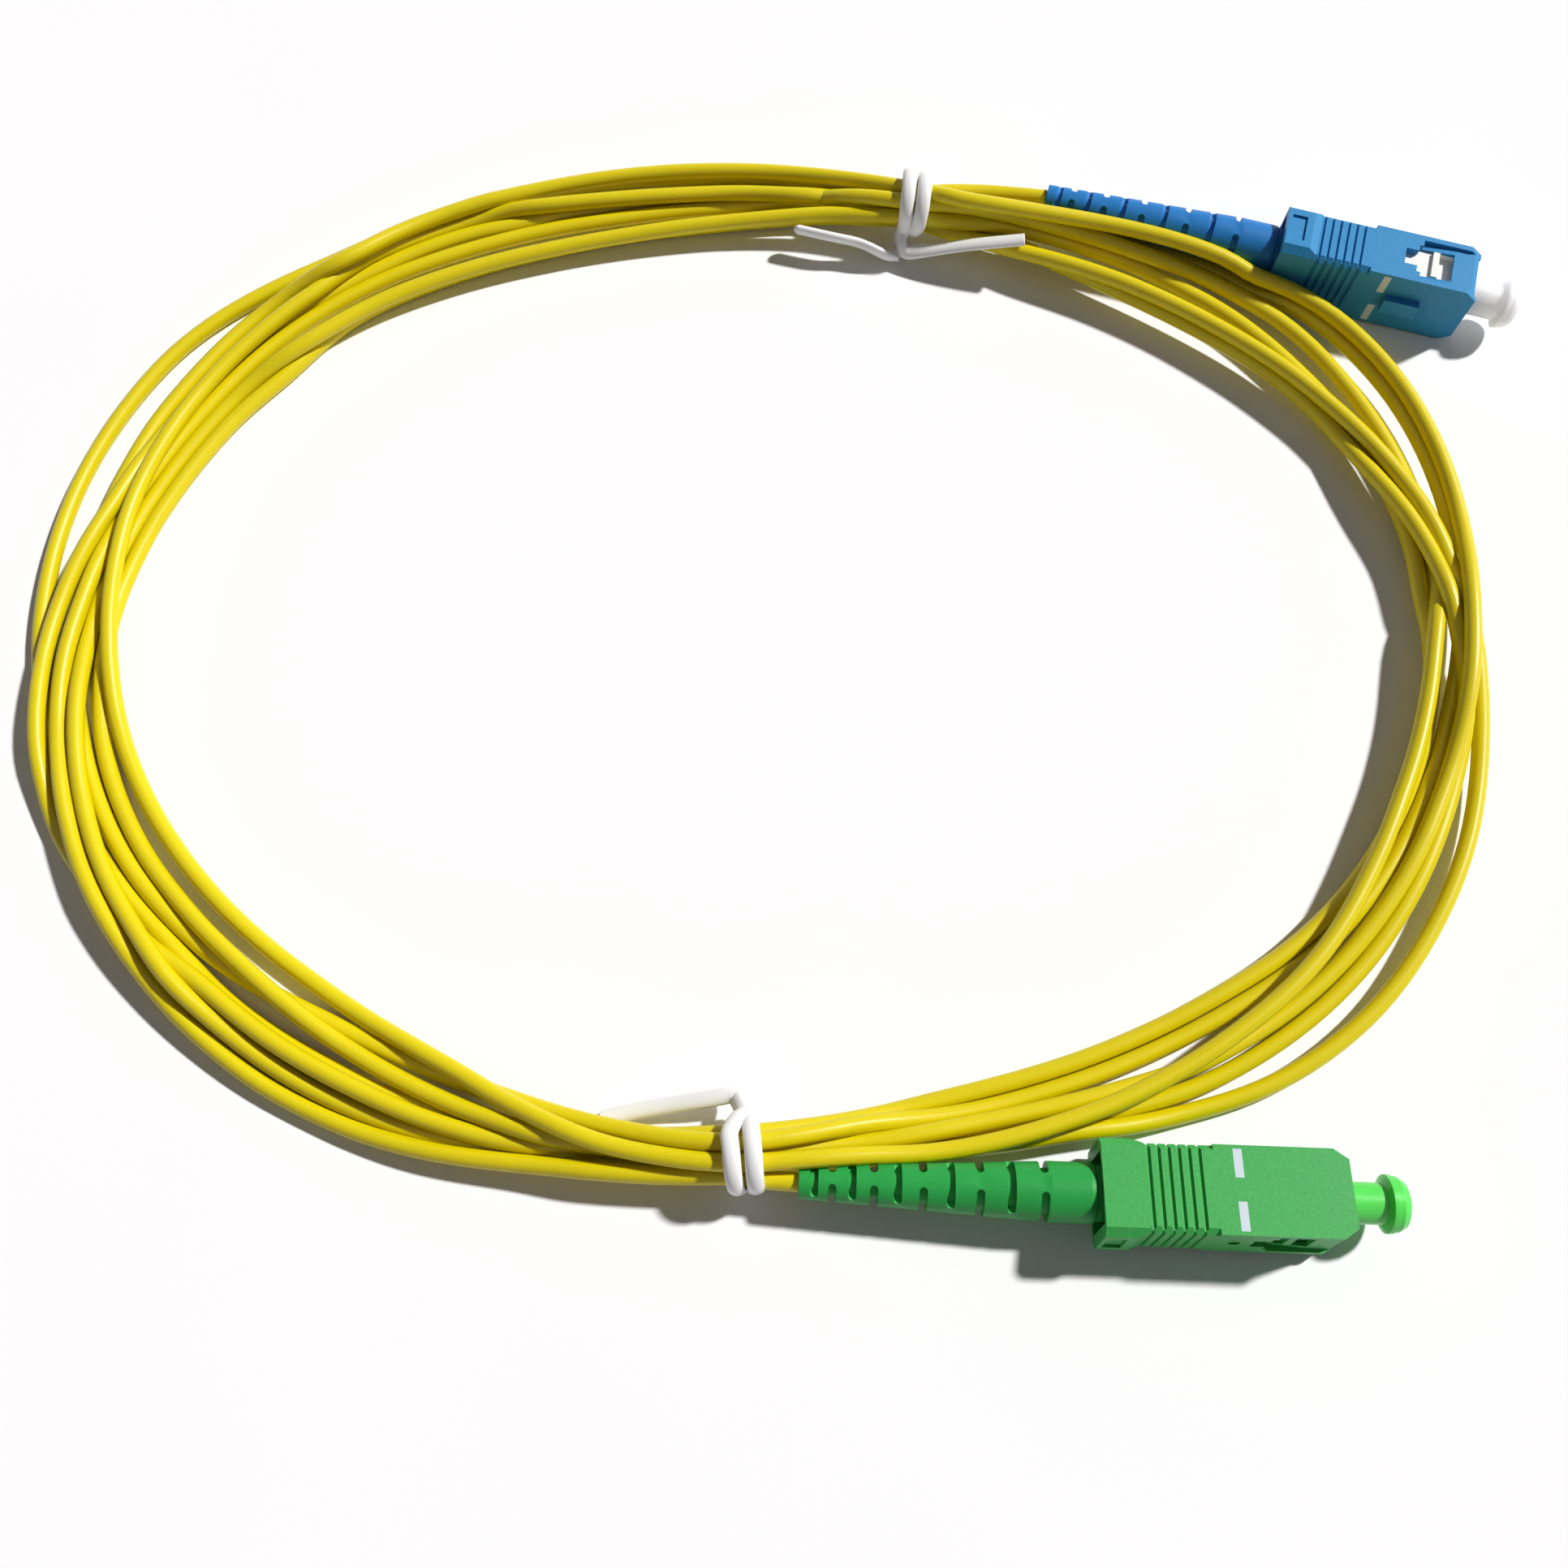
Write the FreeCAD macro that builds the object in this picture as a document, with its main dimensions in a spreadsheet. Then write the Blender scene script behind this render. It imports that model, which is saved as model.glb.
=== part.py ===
"""A simplex fibre optic patch cord: three metres of 2 mm yellow cord wound in a loose oval coil,
tied twice, with an SC plug on each end, one blue and flat polished, one green and angle polished.

Millimetres and degrees, +Z up. The coil lies on the plane z = 0, +X runs along its long side,
and the origin is under the middle of the whole part."""
import FreeCAD, Part
import math
import os
import re
import Sketcher

Vector = FreeCAD.Vector
TURNS = 7

# Every size that can be set by itself, written once.
SIZES = {
    # cord
    "cord_od": 2.0,
    "jacket_bore": 1.1,
    "buffer_od": 0.9,
    "glass_od": 0.125,
    # the oval: where its four quarter points lie and which way the cord runs there
    "top_x": 17.5,
    "top_y": 79.6,
    "top_heading": 164.0,
    "left_x": -84.7,
    "left_y": 21.0,
    "left_heading": 270.0,
    "bottom_x": -4.3,
    "bottom_y": -41.8,
    "bottom_heading": 3.0,
    "right_x": 78.4,
    "right_y": 21.0,
    "right_heading": 90.0,
    # how far apart the turns lie there, sideways and upwards
    "tied_pitch": 2.72,
    "tied_rise": 2.37,
    "tied_lift": 3.3,
    "left_pitch": 3.6,
    "left_rise": 2.6,
    "right_pitch": 3.6,
    "right_rise": 3.35,
    # where each plug lies: the middle of the rear end of its grip, and how it is turned
    "blue_x": 63.9,
    "blue_y": 72.1,
    "blue_yaw": -15.5,
    "blue_pitch": 1.2,
    "green_x": 32.0,
    "green_y": -46.4,
    "green_yaw": -2.05,
    "green_roll": -8.8,
    # how far each boot is turned on its own axis from having its first slots straight up
    "blue_boot_roll": 6.0,
    "green_boot_roll": -13.5,
    # boot: stations are measured from the rear end of the grip
    "boot_length": 30.5,
    "boot_tip_od": 3.3,
    "boot_root_od": 6.1,
    "boot_plain": 5.0,
    "boot_shoulder": -0.3,
    "boot_round": 0.7,
    "boot_nose": 3.6,
    "boot_nose_od": 5.6,
    "boot_bore": 2.3,
    "boot_bore_length": 8.5,
    "slot_width": 0.85,
    "slot_first": 1.55,
    "slot_step": 1.84,
    "slot_growth": 0.187,
    "slot_floor": 0.32,
    # crimp sleeve, aramid yarn and rear body
    "crimp_wall": 0.3,
    "crimp_small_od": 3.2,
    "crimp_back": 9.5,
    "crimp_step": 4.3,
    "crimp_front": 3.4,
    "yarn_wall": 0.2,
    "yarn_back": 3.8,
    "yarn_front": 3.2,
    "rear_tube_od": 3.7,
    "rear_tube_back": 3.9,
    "rear_collar_od": 5.0,
    "rear_collar_back": 4.3,
    "rear_collar_front": 9.6,
    "rear_bore": 1.3,
    "rear_pocket_depth": 1.4,
    # spring
    "spring_wire": 0.45,
    "spring_mean": 3.5,
    # ferrule and its flange
    "ferrule_od": 2.5,
    "ferrule_back": 15.05,
    "ferrule_tip": 25.6,
    "ferrule_chamfer": 0.35,
    "polish_angle": 8.0,
    "flange_od": 4.4,
    "flange_length": 2.2,
    "flange_tube_od": 2.4,
    "flange_tube_back": 10.4,
    # plug frame
    "frame_back": 4.2,
    "frame_front": 24.6,
    "frame_chamfer": 0.5,
    "frame_bore": 4.9,
    "shoulder_back": 16.9,
    "shoulder_wall": 1.0,
    "shoulder_hole": 3.0,
    "latch_back": 18.9,
    "latch_length": 0.8,
    "latch_height": 0.5,
    "latch_width": 3.9,
    "latch_pocket_depth": 0.7,
    "latch_pocket_width": 4.4,
    # grip
    "grip_length": 25.0,
    "grip_width": 9.0,
    "grip_height": 7.4,
    "grip_side_wall": 0.85,
    "grip_face_wall": 0.6,
    "grip_corner_along": 1.5,
    "grip_corner_across": 1.05,
    "sleeve_length": 11.3,
    "sleeve_chamfer": 0.6,
    "block_length": 4.3,
    "block_proud": 0.47,
    "block_slope": 1.0,
    "block_chamfer": 0.85,
    "rear_relief": 0.25,
    "rear_relief_depth": 4.0,
    "rib_first": 4.7,
    "rib_pitch": 1.03,
    "rib_face_groove": 0.55,
    "rib_side_groove": 0.35,
    "rib_depth": 0.3,
    "key_back": 14.6,
    "key_length": 4.4,
    "key_width": 2.2,
    "key_height": 0.95,
    "window_back": 15.3,
    "window_step": 16.9,
    "window_front": 21.5,
    "window_narrow": 2.4,
    "window_wide": 4.2,
    "cam_back": 17.4,
    "cam_depth": 0.7,
    "cam_width": 6.0,
    "bridge_depth": 0.4,
    "panel_back": 0.5,
    "panel_length": 1.9,
    "panel_width": 3.8,
    "panel_depth": 0.3,
    "side_hole": 13.5,
    "side_hole_od": 1.25,
    # dust cap
    "cap_back": 19.6,
    "cap_stem_od": 4.2,
    "cap_collar_back": 28.9,
    "cap_collar_slope": 0.4,
    "cap_collar_od": 5.9,
    "cap_collar_length": 0.9,
    "cap_head_od": 5.6,
    "cap_head_front": 31.4,
    "cap_round": 1.0,
    "cap_clear": 0.6,
    # ties
    "tie_od": 1.4,
    "tie_pitch": 2.3,
    "tie_first_tail": 12.0,
    "top_last_tail": 13.0,
    "bottom_last_tail": 4.0,
    # clearances
    "grip_clear": 0.1,
    "collar_clear": 0.05,
    "buffer_clear": 0.05,
    "crimp_clear": 0.05,
    "seat_clear": 0.05,
    "spring_clear": 0.03,
    "cap_fit": 0.03,
    "tie_clear": 0.3,
}

RIBS = 6
SLOTS = 10
SPRING_TURNS = 5

# Each turn's place in the stack at the quarter points, outermost column and upper row positive,
# counted in pitches and rises. The turns close up at the ties and fan out in between.
TOP_STACK = [(1, 1), (0, 1), (-0.5, 2), (-1, 1), (-0.5, 0), (0.5, 0), (1.5, 0)]
LEFT_STACK = [(1, 1), (0, 1), (-1, 1), (-1.5, 0), (-0.5, 0), (0.5, 0), (1.5, 0)]
BOTTOM_STACK = [(0.5, 2), (0, 1), (-0.5, 2), (-1, 1), (-0.5, 0), (0.5, 0), (1.3, 0.6)]
RIGHT_STACK = [(1, 1), (0, 1), (-1, 1), (-0.5, 0), (0.5, 0), (1.5, 0)]

doc = FreeCAD.newDocument("patch_cord")
sheet = doc.addObject("Spreadsheet::Sheet", "Sizes")
for row, (alias, size) in enumerate(SIZES.items(), 1):
    sheet.set(f"A{row}", alias)
    sheet.set(f"B{row}", str(size))
    sheet.setAlias(f"B{row}", alias)
doc.recompute()


def bound(text):
    """The expression text with each size's name pointed at the sheet."""
    return re.sub(r"[a-z][a-z_]*", lambda word: "Sizes." + word[0] if word[0] in SIZES else word[0], text)


def size(text):
    """The value of an expression over the sheet's sizes."""
    return float(sheet.evalExpression(bound(text)))


def plane_of(body, role):
    return next(feature for feature in body.Origin.OriginFeatures if feature.Role == role)


def new_body(name):
    body = doc.addObject("PartDesign::Body", name)
    body.Label = name
    return body


def outline(body, plane, name, *loops):
    """A sketch of closed loops; each corner is a pair of expressions that its place is bound to."""
    sketch = body.newObject("Sketcher::SketchObject", body.Name + "_" + name)
    sketch.AttachmentSupport = [(plane_of(body, plane), "")]
    sketch.MapMode = "FlatFace"
    for loop in loops:
        first = sketch.GeometryCount
        places = [Vector(size(across), size(up), 0) for across, up in loop]
        for start, end in zip(places, places[1:] + places[:1]):
            sketch.addGeometry(Part.LineSegment(start, end))
        for index in range(len(loop)):
            following = first + (index + 1) % len(loop)
            sketch.addConstraint(Sketcher.Constraint("Coincident", first + index, 2, following, 1))
        for index, corner in enumerate(loop):
            for kind, text, value in zip(("DistanceX", "DistanceY"), corner, places[index]):
                number = sketch.addConstraint(Sketcher.Constraint(kind, -1, 1, first + index, 1, value))
                sketch.setExpression(f"Constraints[{number}]", bound(text))
    return sketch


def circles(body, plane, name, *discs):
    """A sketch of circles, each two expressions for its middle and one for its diameter."""
    sketch = body.newObject("Sketcher::SketchObject", body.Name + "_" + name)
    sketch.AttachmentSupport = [(plane_of(body, plane), "")]
    sketch.MapMode = "FlatFace"
    for number, (across, up, diameter) in enumerate(discs):
        middle = Vector(size(across), size(up), 0)
        sketch.addGeometry(Part.Circle(middle, Vector(0, 0, 1), size(diameter) / 2))
        for kind, text, value in (("DistanceX", across, middle.x), ("DistanceY", up, middle.y)):
            constraint = sketch.addConstraint(Sketcher.Constraint(kind, -1, 1, number, 3, value))
            sketch.setExpression(f"Constraints[{constraint}]", bound(text))
        constraint = sketch.addConstraint(Sketcher.Constraint("Diameter", number, size(diameter)))
        sketch.setExpression(f"Constraints[{constraint}]", bound(diameter))
    return sketch


def rectangle(back, front, low, high):
    return [(back, low), (front, low), (front, high), (back, high)]


def both_ways(back, front, low, high):
    """A rectangle and its mirror image across the first axis."""
    return [rectangle(back, front, low, high), rectangle(back, front, f"-({high})", f"-({low})")]


def grooves(middle, width, surface):
    """The section of a rib's groove in a surface and in the opposite one; its walls slope."""
    depth = f"{surface} - rib_depth"
    above = f"{surface} + rib_depth"
    return [
        [
            (f"{middle} - {width} / 4", f"{side}({depth})"), (f"{middle} + {width} / 4", f"{side}({depth})"),
            (f"{middle} + {width} / 2", f"{side}{surface}"), (f"{middle} + {width} / 2", f"{side}({above})"),
            (f"{middle} - {width} / 2", f"{side}({above})"), (f"{middle} - {width} / 2", f"{side}{surface}"),
        ]
        for side in ("", "-")
    ]


def pad(body, sketch, length, symmetric=True):
    feature = body.newObject("PartDesign::Pad", sketch.Name + "_pad")
    feature.Profile = sketch
    feature.Midplane = symmetric
    feature.setExpression("Length", bound(length))
    doc.recompute()
    return feature


def pocket(body, sketch, length=None):
    """Cuts the sketch both ways from its plane: right through, or over a length."""
    before = body.Shape.Volume
    feature = body.newObject("PartDesign::Pocket", sketch.Name + "_pocket")
    feature.Profile = sketch
    feature.Midplane = True
    if length is None:
        feature.Type = "ThroughAll"
    else:
        feature.setExpression("Length", bound(length))
    doc.recompute()
    if body.Shape.Volume >= before:
        raise RuntimeError(sketch.Name + " cuts nothing")
    return feature


def spun(body, sketch, kind):
    """A revolution or a groove of the sketch about the piece's long axis."""
    before = body.Shape.Volume if kind == "Groove" else 0
    feature = body.newObject("PartDesign::" + kind, sketch.Name + "_turn")
    feature.Profile = sketch
    feature.ReferenceAxis = (sketch, ["H_Axis"])
    feature.Angle = 360
    doc.recompute()
    if kind == "Groove" and body.Shape.Volume >= before:
        raise RuntimeError(sketch.Name + " cuts nothing")
    return feature


def turned(name, *corners):
    """A piece turned about its long axis, from the corners of its half section."""
    body = new_body(name)
    spun(body, outline(body, "XY_Plane", "section", list(corners)), "Revolution")
    return body


# Stations inside the plug, from the rear end of the grip towards the ferrule's tip
CRIMP_BORE = "(rear_tube_od / 2 + crimp_clear + yarn_wall + crimp_clear)"
CRIMP_RADIUS = f"({CRIMP_BORE} + crimp_wall)"
SMALL_CRIMP_BORE = "(cord_od / 2 + crimp_clear)"
BUFFER_HOLE = "(buffer_od / 2 + buffer_clear)"
COLLAR_HOLE = "(rear_collar_od / 2 + collar_clear)"
FLANGE_FRONT = "(shoulder_back - seat_clear)"
FLANGE_BACK = f"({FLANGE_FRONT} - flange_length)"
POCKET_RADIUS = "(flange_tube_od / 2 + 0.2)"
CAVITY_WIDTH = "(grip_width - 2 * grip_side_wall)"
CAVITY_HEIGHT = "(grip_height - 2 * grip_face_wall)"
FRAME_HALF = f"({CAVITY_WIDTH} / 2 - grip_clear)"
GRIP_HALF = "(grip_width / 2)"
GRIP_FACE = "(grip_height / 2)"
BLOCK_SIDE = "(grip_width / 2 + block_proud)"
POLISH_DROP = "(ferrule_od / 2 * tan(polish_angle))"


def make_boot(name):
    """The slotted rubber boot: a tapered sleeve with round-ended slots cut in from opposite sides,
    one pair from above and below, the next from both sides, and so on."""
    body = turned(
        name,
        ("-boot_length", "boot_bore / 2"),
        ("-boot_length", "boot_tip_od / 2"),
        ("-boot_plain", "boot_root_od / 2"),
        ("boot_shoulder - boot_round", "boot_root_od / 2"),
        ("boot_shoulder - boot_round * 0.3", "boot_root_od / 2 * 0.7 + boot_nose_od / 2 * 0.3"),
        ("boot_shoulder", "boot_nose_od / 2"),
        ("boot_nose", "boot_nose_od / 2"),
        ("boot_nose", f"{CRIMP_RADIUS} + crimp_clear"),
        ("-crimp_step - crimp_wall", f"{CRIMP_RADIUS} + crimp_clear"),
        ("-crimp_back - crimp_wall", "crimp_small_od / 2 + crimp_clear"),
        ("-boot_length + boot_bore_length", "boot_bore / 2"),
    )
    taper = "(boot_root_od - boot_tip_od) / 2 / (boot_length - boot_plain)"
    cuts = [[], []]
    ends = [[], []]
    for number in range(SLOTS):
        reach = f"(slot_first + {number} * slot_step + {number * (number - 1) // 2} * slot_growth)"
        radius = f"(boot_tip_od / 2 + {taper} * {reach})"
        middle = f"(-boot_length + {reach})"
        round_end = f"(slot_floor * {radius} + slot_width / 2)"
        cuts[number % 2] += both_ways(
            f"{middle} - slot_width / 2", f"{middle} + slot_width / 2", round_end, "boot_root_od",
        )
        ends[number % 2] += [(middle, round_end, "slot_width"), (middle, f"-{round_end}", "slot_width")]
    for pair, plane in enumerate(("XZ_Plane", "XY_Plane")):
        pocket(body, outline(body, plane, f"slots_{pair}", *cuts[pair]))
        pocket(body, circles(body, plane, f"slot_ends_{pair}", *ends[pair]))
    return body


def make_cord_end(name):
    """The hollow end of the jacket inside the boot, up to the crimp."""
    front = "-crimp_step - crimp_wall"
    return turned(name, *rectangle("-boot_length", front, "jacket_bore / 2", "cord_od / 2"))


def make_crimp_sleeve(name):
    """The metal sleeve: its wide part clamps the yarn on the rear body, its narrow part the jacket."""
    return turned(
        name,
        ("-crimp_back", SMALL_CRIMP_BORE),
        ("-crimp_back", "crimp_small_od / 2"),
        ("-crimp_step", "crimp_small_od / 2"),
        ("-crimp_step", CRIMP_RADIUS),
        ("crimp_front", CRIMP_RADIUS),
        ("crimp_front", CRIMP_BORE),
        ("-crimp_step + crimp_wall", CRIMP_BORE),
        ("-crimp_step + crimp_wall", SMALL_CRIMP_BORE),
    )


def make_yarn(name):
    """The aramid strength members, folded back as a thin layer under the crimp sleeve."""
    inner = "rear_tube_od / 2 + crimp_clear"
    return turned(name, *rectangle("-yarn_back", "yarn_front", inner, f"{inner} + yarn_wall"))


def make_rear_body(name):
    """The stop behind the spring: a tube for the crimp and a collar held in the frame."""
    pocket_back = "rear_collar_front - rear_pocket_depth"
    return turned(
        name,
        ("-rear_tube_back", "rear_bore / 2"),
        ("-rear_tube_back", "rear_tube_od / 2"),
        ("rear_collar_back", "rear_tube_od / 2"),
        ("rear_collar_back", "rear_collar_od / 2"),
        ("rear_collar_front", "rear_collar_od / 2"),
        ("rear_collar_front", POCKET_RADIUS),
        (pocket_back, POCKET_RADIUS),
        (pocket_back, "rear_bore / 2"),
    )


def make_flange(name):
    """The metal flange that holds the ferrule and takes the spring."""
    return turned(
        name,
        ("flange_tube_back", BUFFER_HOLE),
        ("flange_tube_back", "flange_tube_od / 2"),
        (FLANGE_BACK, "flange_tube_od / 2"),
        (FLANGE_BACK, "flange_od / 2"),
        (FLANGE_FRONT, "flange_od / 2"),
        (FLANGE_FRONT, "ferrule_od / 2"),
        ("ferrule_back", "ferrule_od / 2"),
        ("ferrule_back", BUFFER_HOLE),
    )


def make_ferrule(name, angled):
    """The ceramic ferrule; an angled one has its end ground off at the polish angle."""
    body = turned(
        name,
        ("ferrule_back", "glass_od / 2"),
        ("ferrule_back", "ferrule_od / 2"),
        ("ferrule_tip - ferrule_chamfer", "ferrule_od / 2"),
        ("ferrule_tip", "ferrule_od / 2 - ferrule_chamfer"),
        ("ferrule_tip", "glass_od / 2"),
    )
    if angled:
        wedge = [
            (f"ferrule_tip - 2 * {POLISH_DROP}", "ferrule_od / 2"),
            ("ferrule_tip", "-ferrule_od / 2"),
            ("ferrule_tip + ferrule_od", "-ferrule_od / 2"),
            ("ferrule_tip + ferrule_od", "ferrule_od / 2"),
        ]
        pocket(body, outline(body, "XZ_Plane", "polish", wedge))
    return body


def make_fibre(name, angled):
    """The buffered fibre from the cord's end into the flange, and the bare glass in the ferrule."""
    end = f"ferrule_tip - {POLISH_DROP}" if angled else "ferrule_tip"
    return turned(
        name,
        ("-boot_length + boot_bore_length", "0"),
        (end, "0"),
        (end, "glass_od / 2"),
        ("ferrule_back", "glass_od / 2"),
        ("ferrule_back", "buffer_od / 2"),
        ("-boot_length + boot_bore_length", "buffer_od / 2"),
    )


def make_plug_frame(name):
    """The inner frame: it holds the ferrule, the spring and the rear body, and carries the latch bars."""
    body = new_body(name)
    across = f"({FRAME_HALF} - frame_chamfer)"
    plan = [
        ("frame_back", f"-{FRAME_HALF}"),
        ("frame_front - frame_chamfer", f"-{FRAME_HALF}"),
        ("frame_front", f"-{across}"),
        ("frame_front", across),
        ("frame_front - frame_chamfer", FRAME_HALF),
        ("frame_back", FRAME_HALF),
    ]
    pad(body, outline(body, "XY_Plane", "plan", plan), f"{CAVITY_HEIGHT} - 2 * grip_clear")
    bars = both_ways("latch_back", "latch_back + latch_length", f"{FRAME_HALF} - latch_height",
                     f"{FRAME_HALF} + latch_height")
    pad(body, outline(body, "XY_Plane", "latches", *bars), "latch_width")
    pockets = both_ways("latch_back + latch_length", "frame_front + latch_length",
                        f"{FRAME_HALF} - latch_pocket_depth", f"{FRAME_HALF} + latch_height")
    pocket(body, outline(body, "XY_Plane", "latch_pockets", *pockets), "latch_pocket_width")
    bore = [
        ("frame_back - seat_clear", "0"),
        ("frame_front + seat_clear", "0"),
        ("frame_front + seat_clear", "frame_bore / 2"),
        ("shoulder_back + shoulder_wall", "frame_bore / 2"),
        ("shoulder_back + shoulder_wall", "shoulder_hole / 2"),
        ("shoulder_back", "shoulder_hole / 2"),
        ("shoulder_back", COLLAR_HOLE),
        ("frame_back - seat_clear", COLLAR_HOLE),
    ]
    spun(body, outline(body, "XY_Plane", "bore", bore), "Groove")
    return body


def chamfered(side, face, chamfer):
    """An upright rectangle, twice side wide and twice face high, with its corners cut off."""
    return [
        (f"{side}", f"-({face} - {chamfer})"), (f"{side}", f"{face} - {chamfer}"),
        (f"{side} - {chamfer}", f"{face}"), (f"-({side} - {chamfer})", f"{face}"),
        (f"-{side}", f"{face} - {chamfer}"), (f"-{side}", f"-({face} - {chamfer})"),
        (f"-({side} - {chamfer})", f"-{face}"), (f"{side} - {chamfer}", f"-{face}"),
    ]


def make_grip(name, side_holes):
    """The sliding outer housing: ribbed rear half with its edges chamfered, square front half, key on
    one broad face, latch windows in its sides. Some have a small round hole in each side."""
    body = new_body(name)
    across = f"({GRIP_HALF} - grip_corner_across)"
    plan = [
        ("sleeve_length", f"-{GRIP_HALF}"),
        ("grip_length - grip_corner_along", f"-{GRIP_HALF}"),
        ("grip_length", f"-{across}"),
        ("grip_length", across),
        ("grip_length - grip_corner_along", GRIP_HALF),
        ("sleeve_length", GRIP_HALF),
    ]
    pad(body, outline(body, "XY_Plane", "plan", plan), "grip_height")
    sleeve = chamfered(GRIP_HALF, GRIP_FACE, "sleeve_chamfer")
    pad(body, outline(body, "YZ_Plane", "sleeve", sleeve), "sleeve_length", symmetric=False)
    block = chamfered(BLOCK_SIDE, GRIP_FACE, "block_chamfer")
    pad(body, outline(body, "YZ_Plane", "block", block), "block_length", symmetric=False)
    slopes = [
        [("block_length - block_slope", f"{side}{BLOCK_SIDE}"), ("block_length", f"{side}{GRIP_HALF}"),
         ("block_length + block_slope", f"{side}{GRIP_HALF}"),
         ("block_length + block_slope", f"{side}{BLOCK_SIDE}")]
        for side in ("", "-")
    ]
    pocket(body, outline(body, "XY_Plane", "block_slopes", *slopes))
    key = rectangle("key_back", "key_back + key_length", "-key_width / 2", "key_width / 2")
    pad(body, outline(body, "XY_Plane", "key", key), "grip_height / 2 + key_height", symmetric=False)

    hollow = rectangle(f"-{CAVITY_WIDTH} / 2", f"{CAVITY_WIDTH} / 2",
                       f"-{CAVITY_HEIGHT} / 2", f"{CAVITY_HEIGHT} / 2")
    pocket(body, outline(body, "YZ_Plane", "cavity", hollow))
    relief = rectangle("-seat_clear", "rear_relief_depth", "0", f"{CAVITY_HEIGHT} / 2 + rear_relief")
    spun(body, outline(body, "XY_Plane", "rear_relief", relief), "Groove")

    face_grooves = []
    side_grooves = []
    for number in range(RIBS):
        middle = f"rib_first + {number} * rib_pitch"
        face_grooves += grooves(middle, "rib_face_groove", GRIP_FACE)
        side_grooves += grooves(middle, "rib_side_groove", GRIP_HALF)
    pocket(body, outline(body, "XZ_Plane", "face_grooves", *face_grooves))
    pocket(body, outline(body, "XY_Plane", "side_grooves", *side_grooves))

    window = [
        ("window_back", "-window_narrow / 2"), ("window_step", "-window_narrow / 2"),
        ("window_step", "-window_wide / 2"), ("window_front", "-window_wide / 2"),
        ("window_front", "window_wide / 2"), ("window_step", "window_wide / 2"),
        ("window_step", "window_narrow / 2"), ("window_back", "window_narrow / 2"),
    ]
    pocket(body, outline(body, "XZ_Plane", "windows", window))
    cams = []
    for side in ("", "-"):
        cams.append([
            ("cam_back", f"{side}({GRIP_HALF} - cam_depth)"),
            ("window_front", f"{side}({GRIP_HALF} - bridge_depth)"),
            ("grip_length + bridge_depth", f"{side}({GRIP_HALF} - bridge_depth)"),
            ("grip_length + bridge_depth", f"{side}({GRIP_HALF} + bridge_depth)"),
            ("cam_back", f"{side}({GRIP_HALF} + bridge_depth)"),
        ])
    pocket(body, outline(body, "XY_Plane", "cams", *cams), "cam_width")
    if side_holes:
        pocket(body, circles(body, "XZ_Plane", "side_holes", ("side_hole", "0", "side_hole_od")))
    panel = rectangle("panel_back", "panel_back + panel_length", f"{BLOCK_SIDE} - panel_depth",
                      f"{BLOCK_SIDE} + panel_depth")
    pocket(body, outline(body, "XY_Plane", "panel", panel), "panel_width")
    return body


def make_dust_cap(name):
    """The cap on the ferrule: a stem that reaches into the frame, a thin collar and a round head."""
    return turned(
        name,
        ("cap_back", "ferrule_od / 2 + cap_fit"),
        ("cap_back", "cap_stem_od / 2"),
        ("cap_collar_back", "cap_stem_od / 2"),
        ("cap_collar_back + cap_collar_slope", "cap_collar_od / 2"),
        ("cap_collar_back + cap_collar_length", "cap_collar_od / 2"),
        ("cap_collar_back + cap_collar_length", "cap_head_od / 2"),
        ("cap_head_front - cap_round", "cap_head_od / 2"),
        ("cap_head_front - cap_round * 0.3", "cap_head_od / 2 - cap_round * 0.4"),
        ("cap_head_front", "cap_head_od / 2 - cap_round"),
        ("cap_head_front", "0"),
        ("ferrule_tip + cap_clear", "0"),
        ("ferrule_tip + cap_clear", "ferrule_od / 2 + cap_fit"),
    )


def arc_or_line(start, heading, end):
    """The edge that leaves start along heading and ends at end, and its radius."""
    chord = end - start
    along = chord.dot(heading)
    side = chord - heading * along
    if side.Length < 1e-6 * chord.Length:
        return Part.LineSegment(start, end).toShape(), math.inf
    radius = chord.Length ** 2 / (2 * side.Length)
    half_turn = math.atan2(side.Length, along)
    towards = side * (1 / side.Length)
    forward = heading * (radius * math.sin(half_turn))
    middle = start + forward + towards * (radius * (1 - math.cos(half_turn)))
    return Part.Arc(start, middle, end).toShape(), radius


def two_arcs(start, heading, end, end_heading):
    """Two arcs that meet smoothly and join start to end with the given headings."""
    chord = end - start
    both = heading + end_heading
    sharpness = 2 * (1 - heading.dot(end_heading))
    reach = chord.dot(both)
    if sharpness < 1e-9:
        leg = chord.dot(chord) / (2 * reach)
    else:
        leg = (-reach + math.sqrt(reach ** 2 + sharpness * chord.dot(chord))) / sharpness
    meeting = (start + heading * leg + end - end_heading * leg) * 0.5
    first, first_radius = arc_or_line(start, heading, meeting)
    second, second_radius = arc_or_line(end, end_heading * -1, meeting)
    middle = second.valueAt((second.FirstParameter + second.LastParameter) / 2)
    if second_radius == math.inf:
        second = Part.LineSegment(meeting, end).toShape()
    else:
        second = Part.Arc(meeting, middle, end).toShape()
    return [(first, first_radius), (second, second_radius)]


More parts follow.
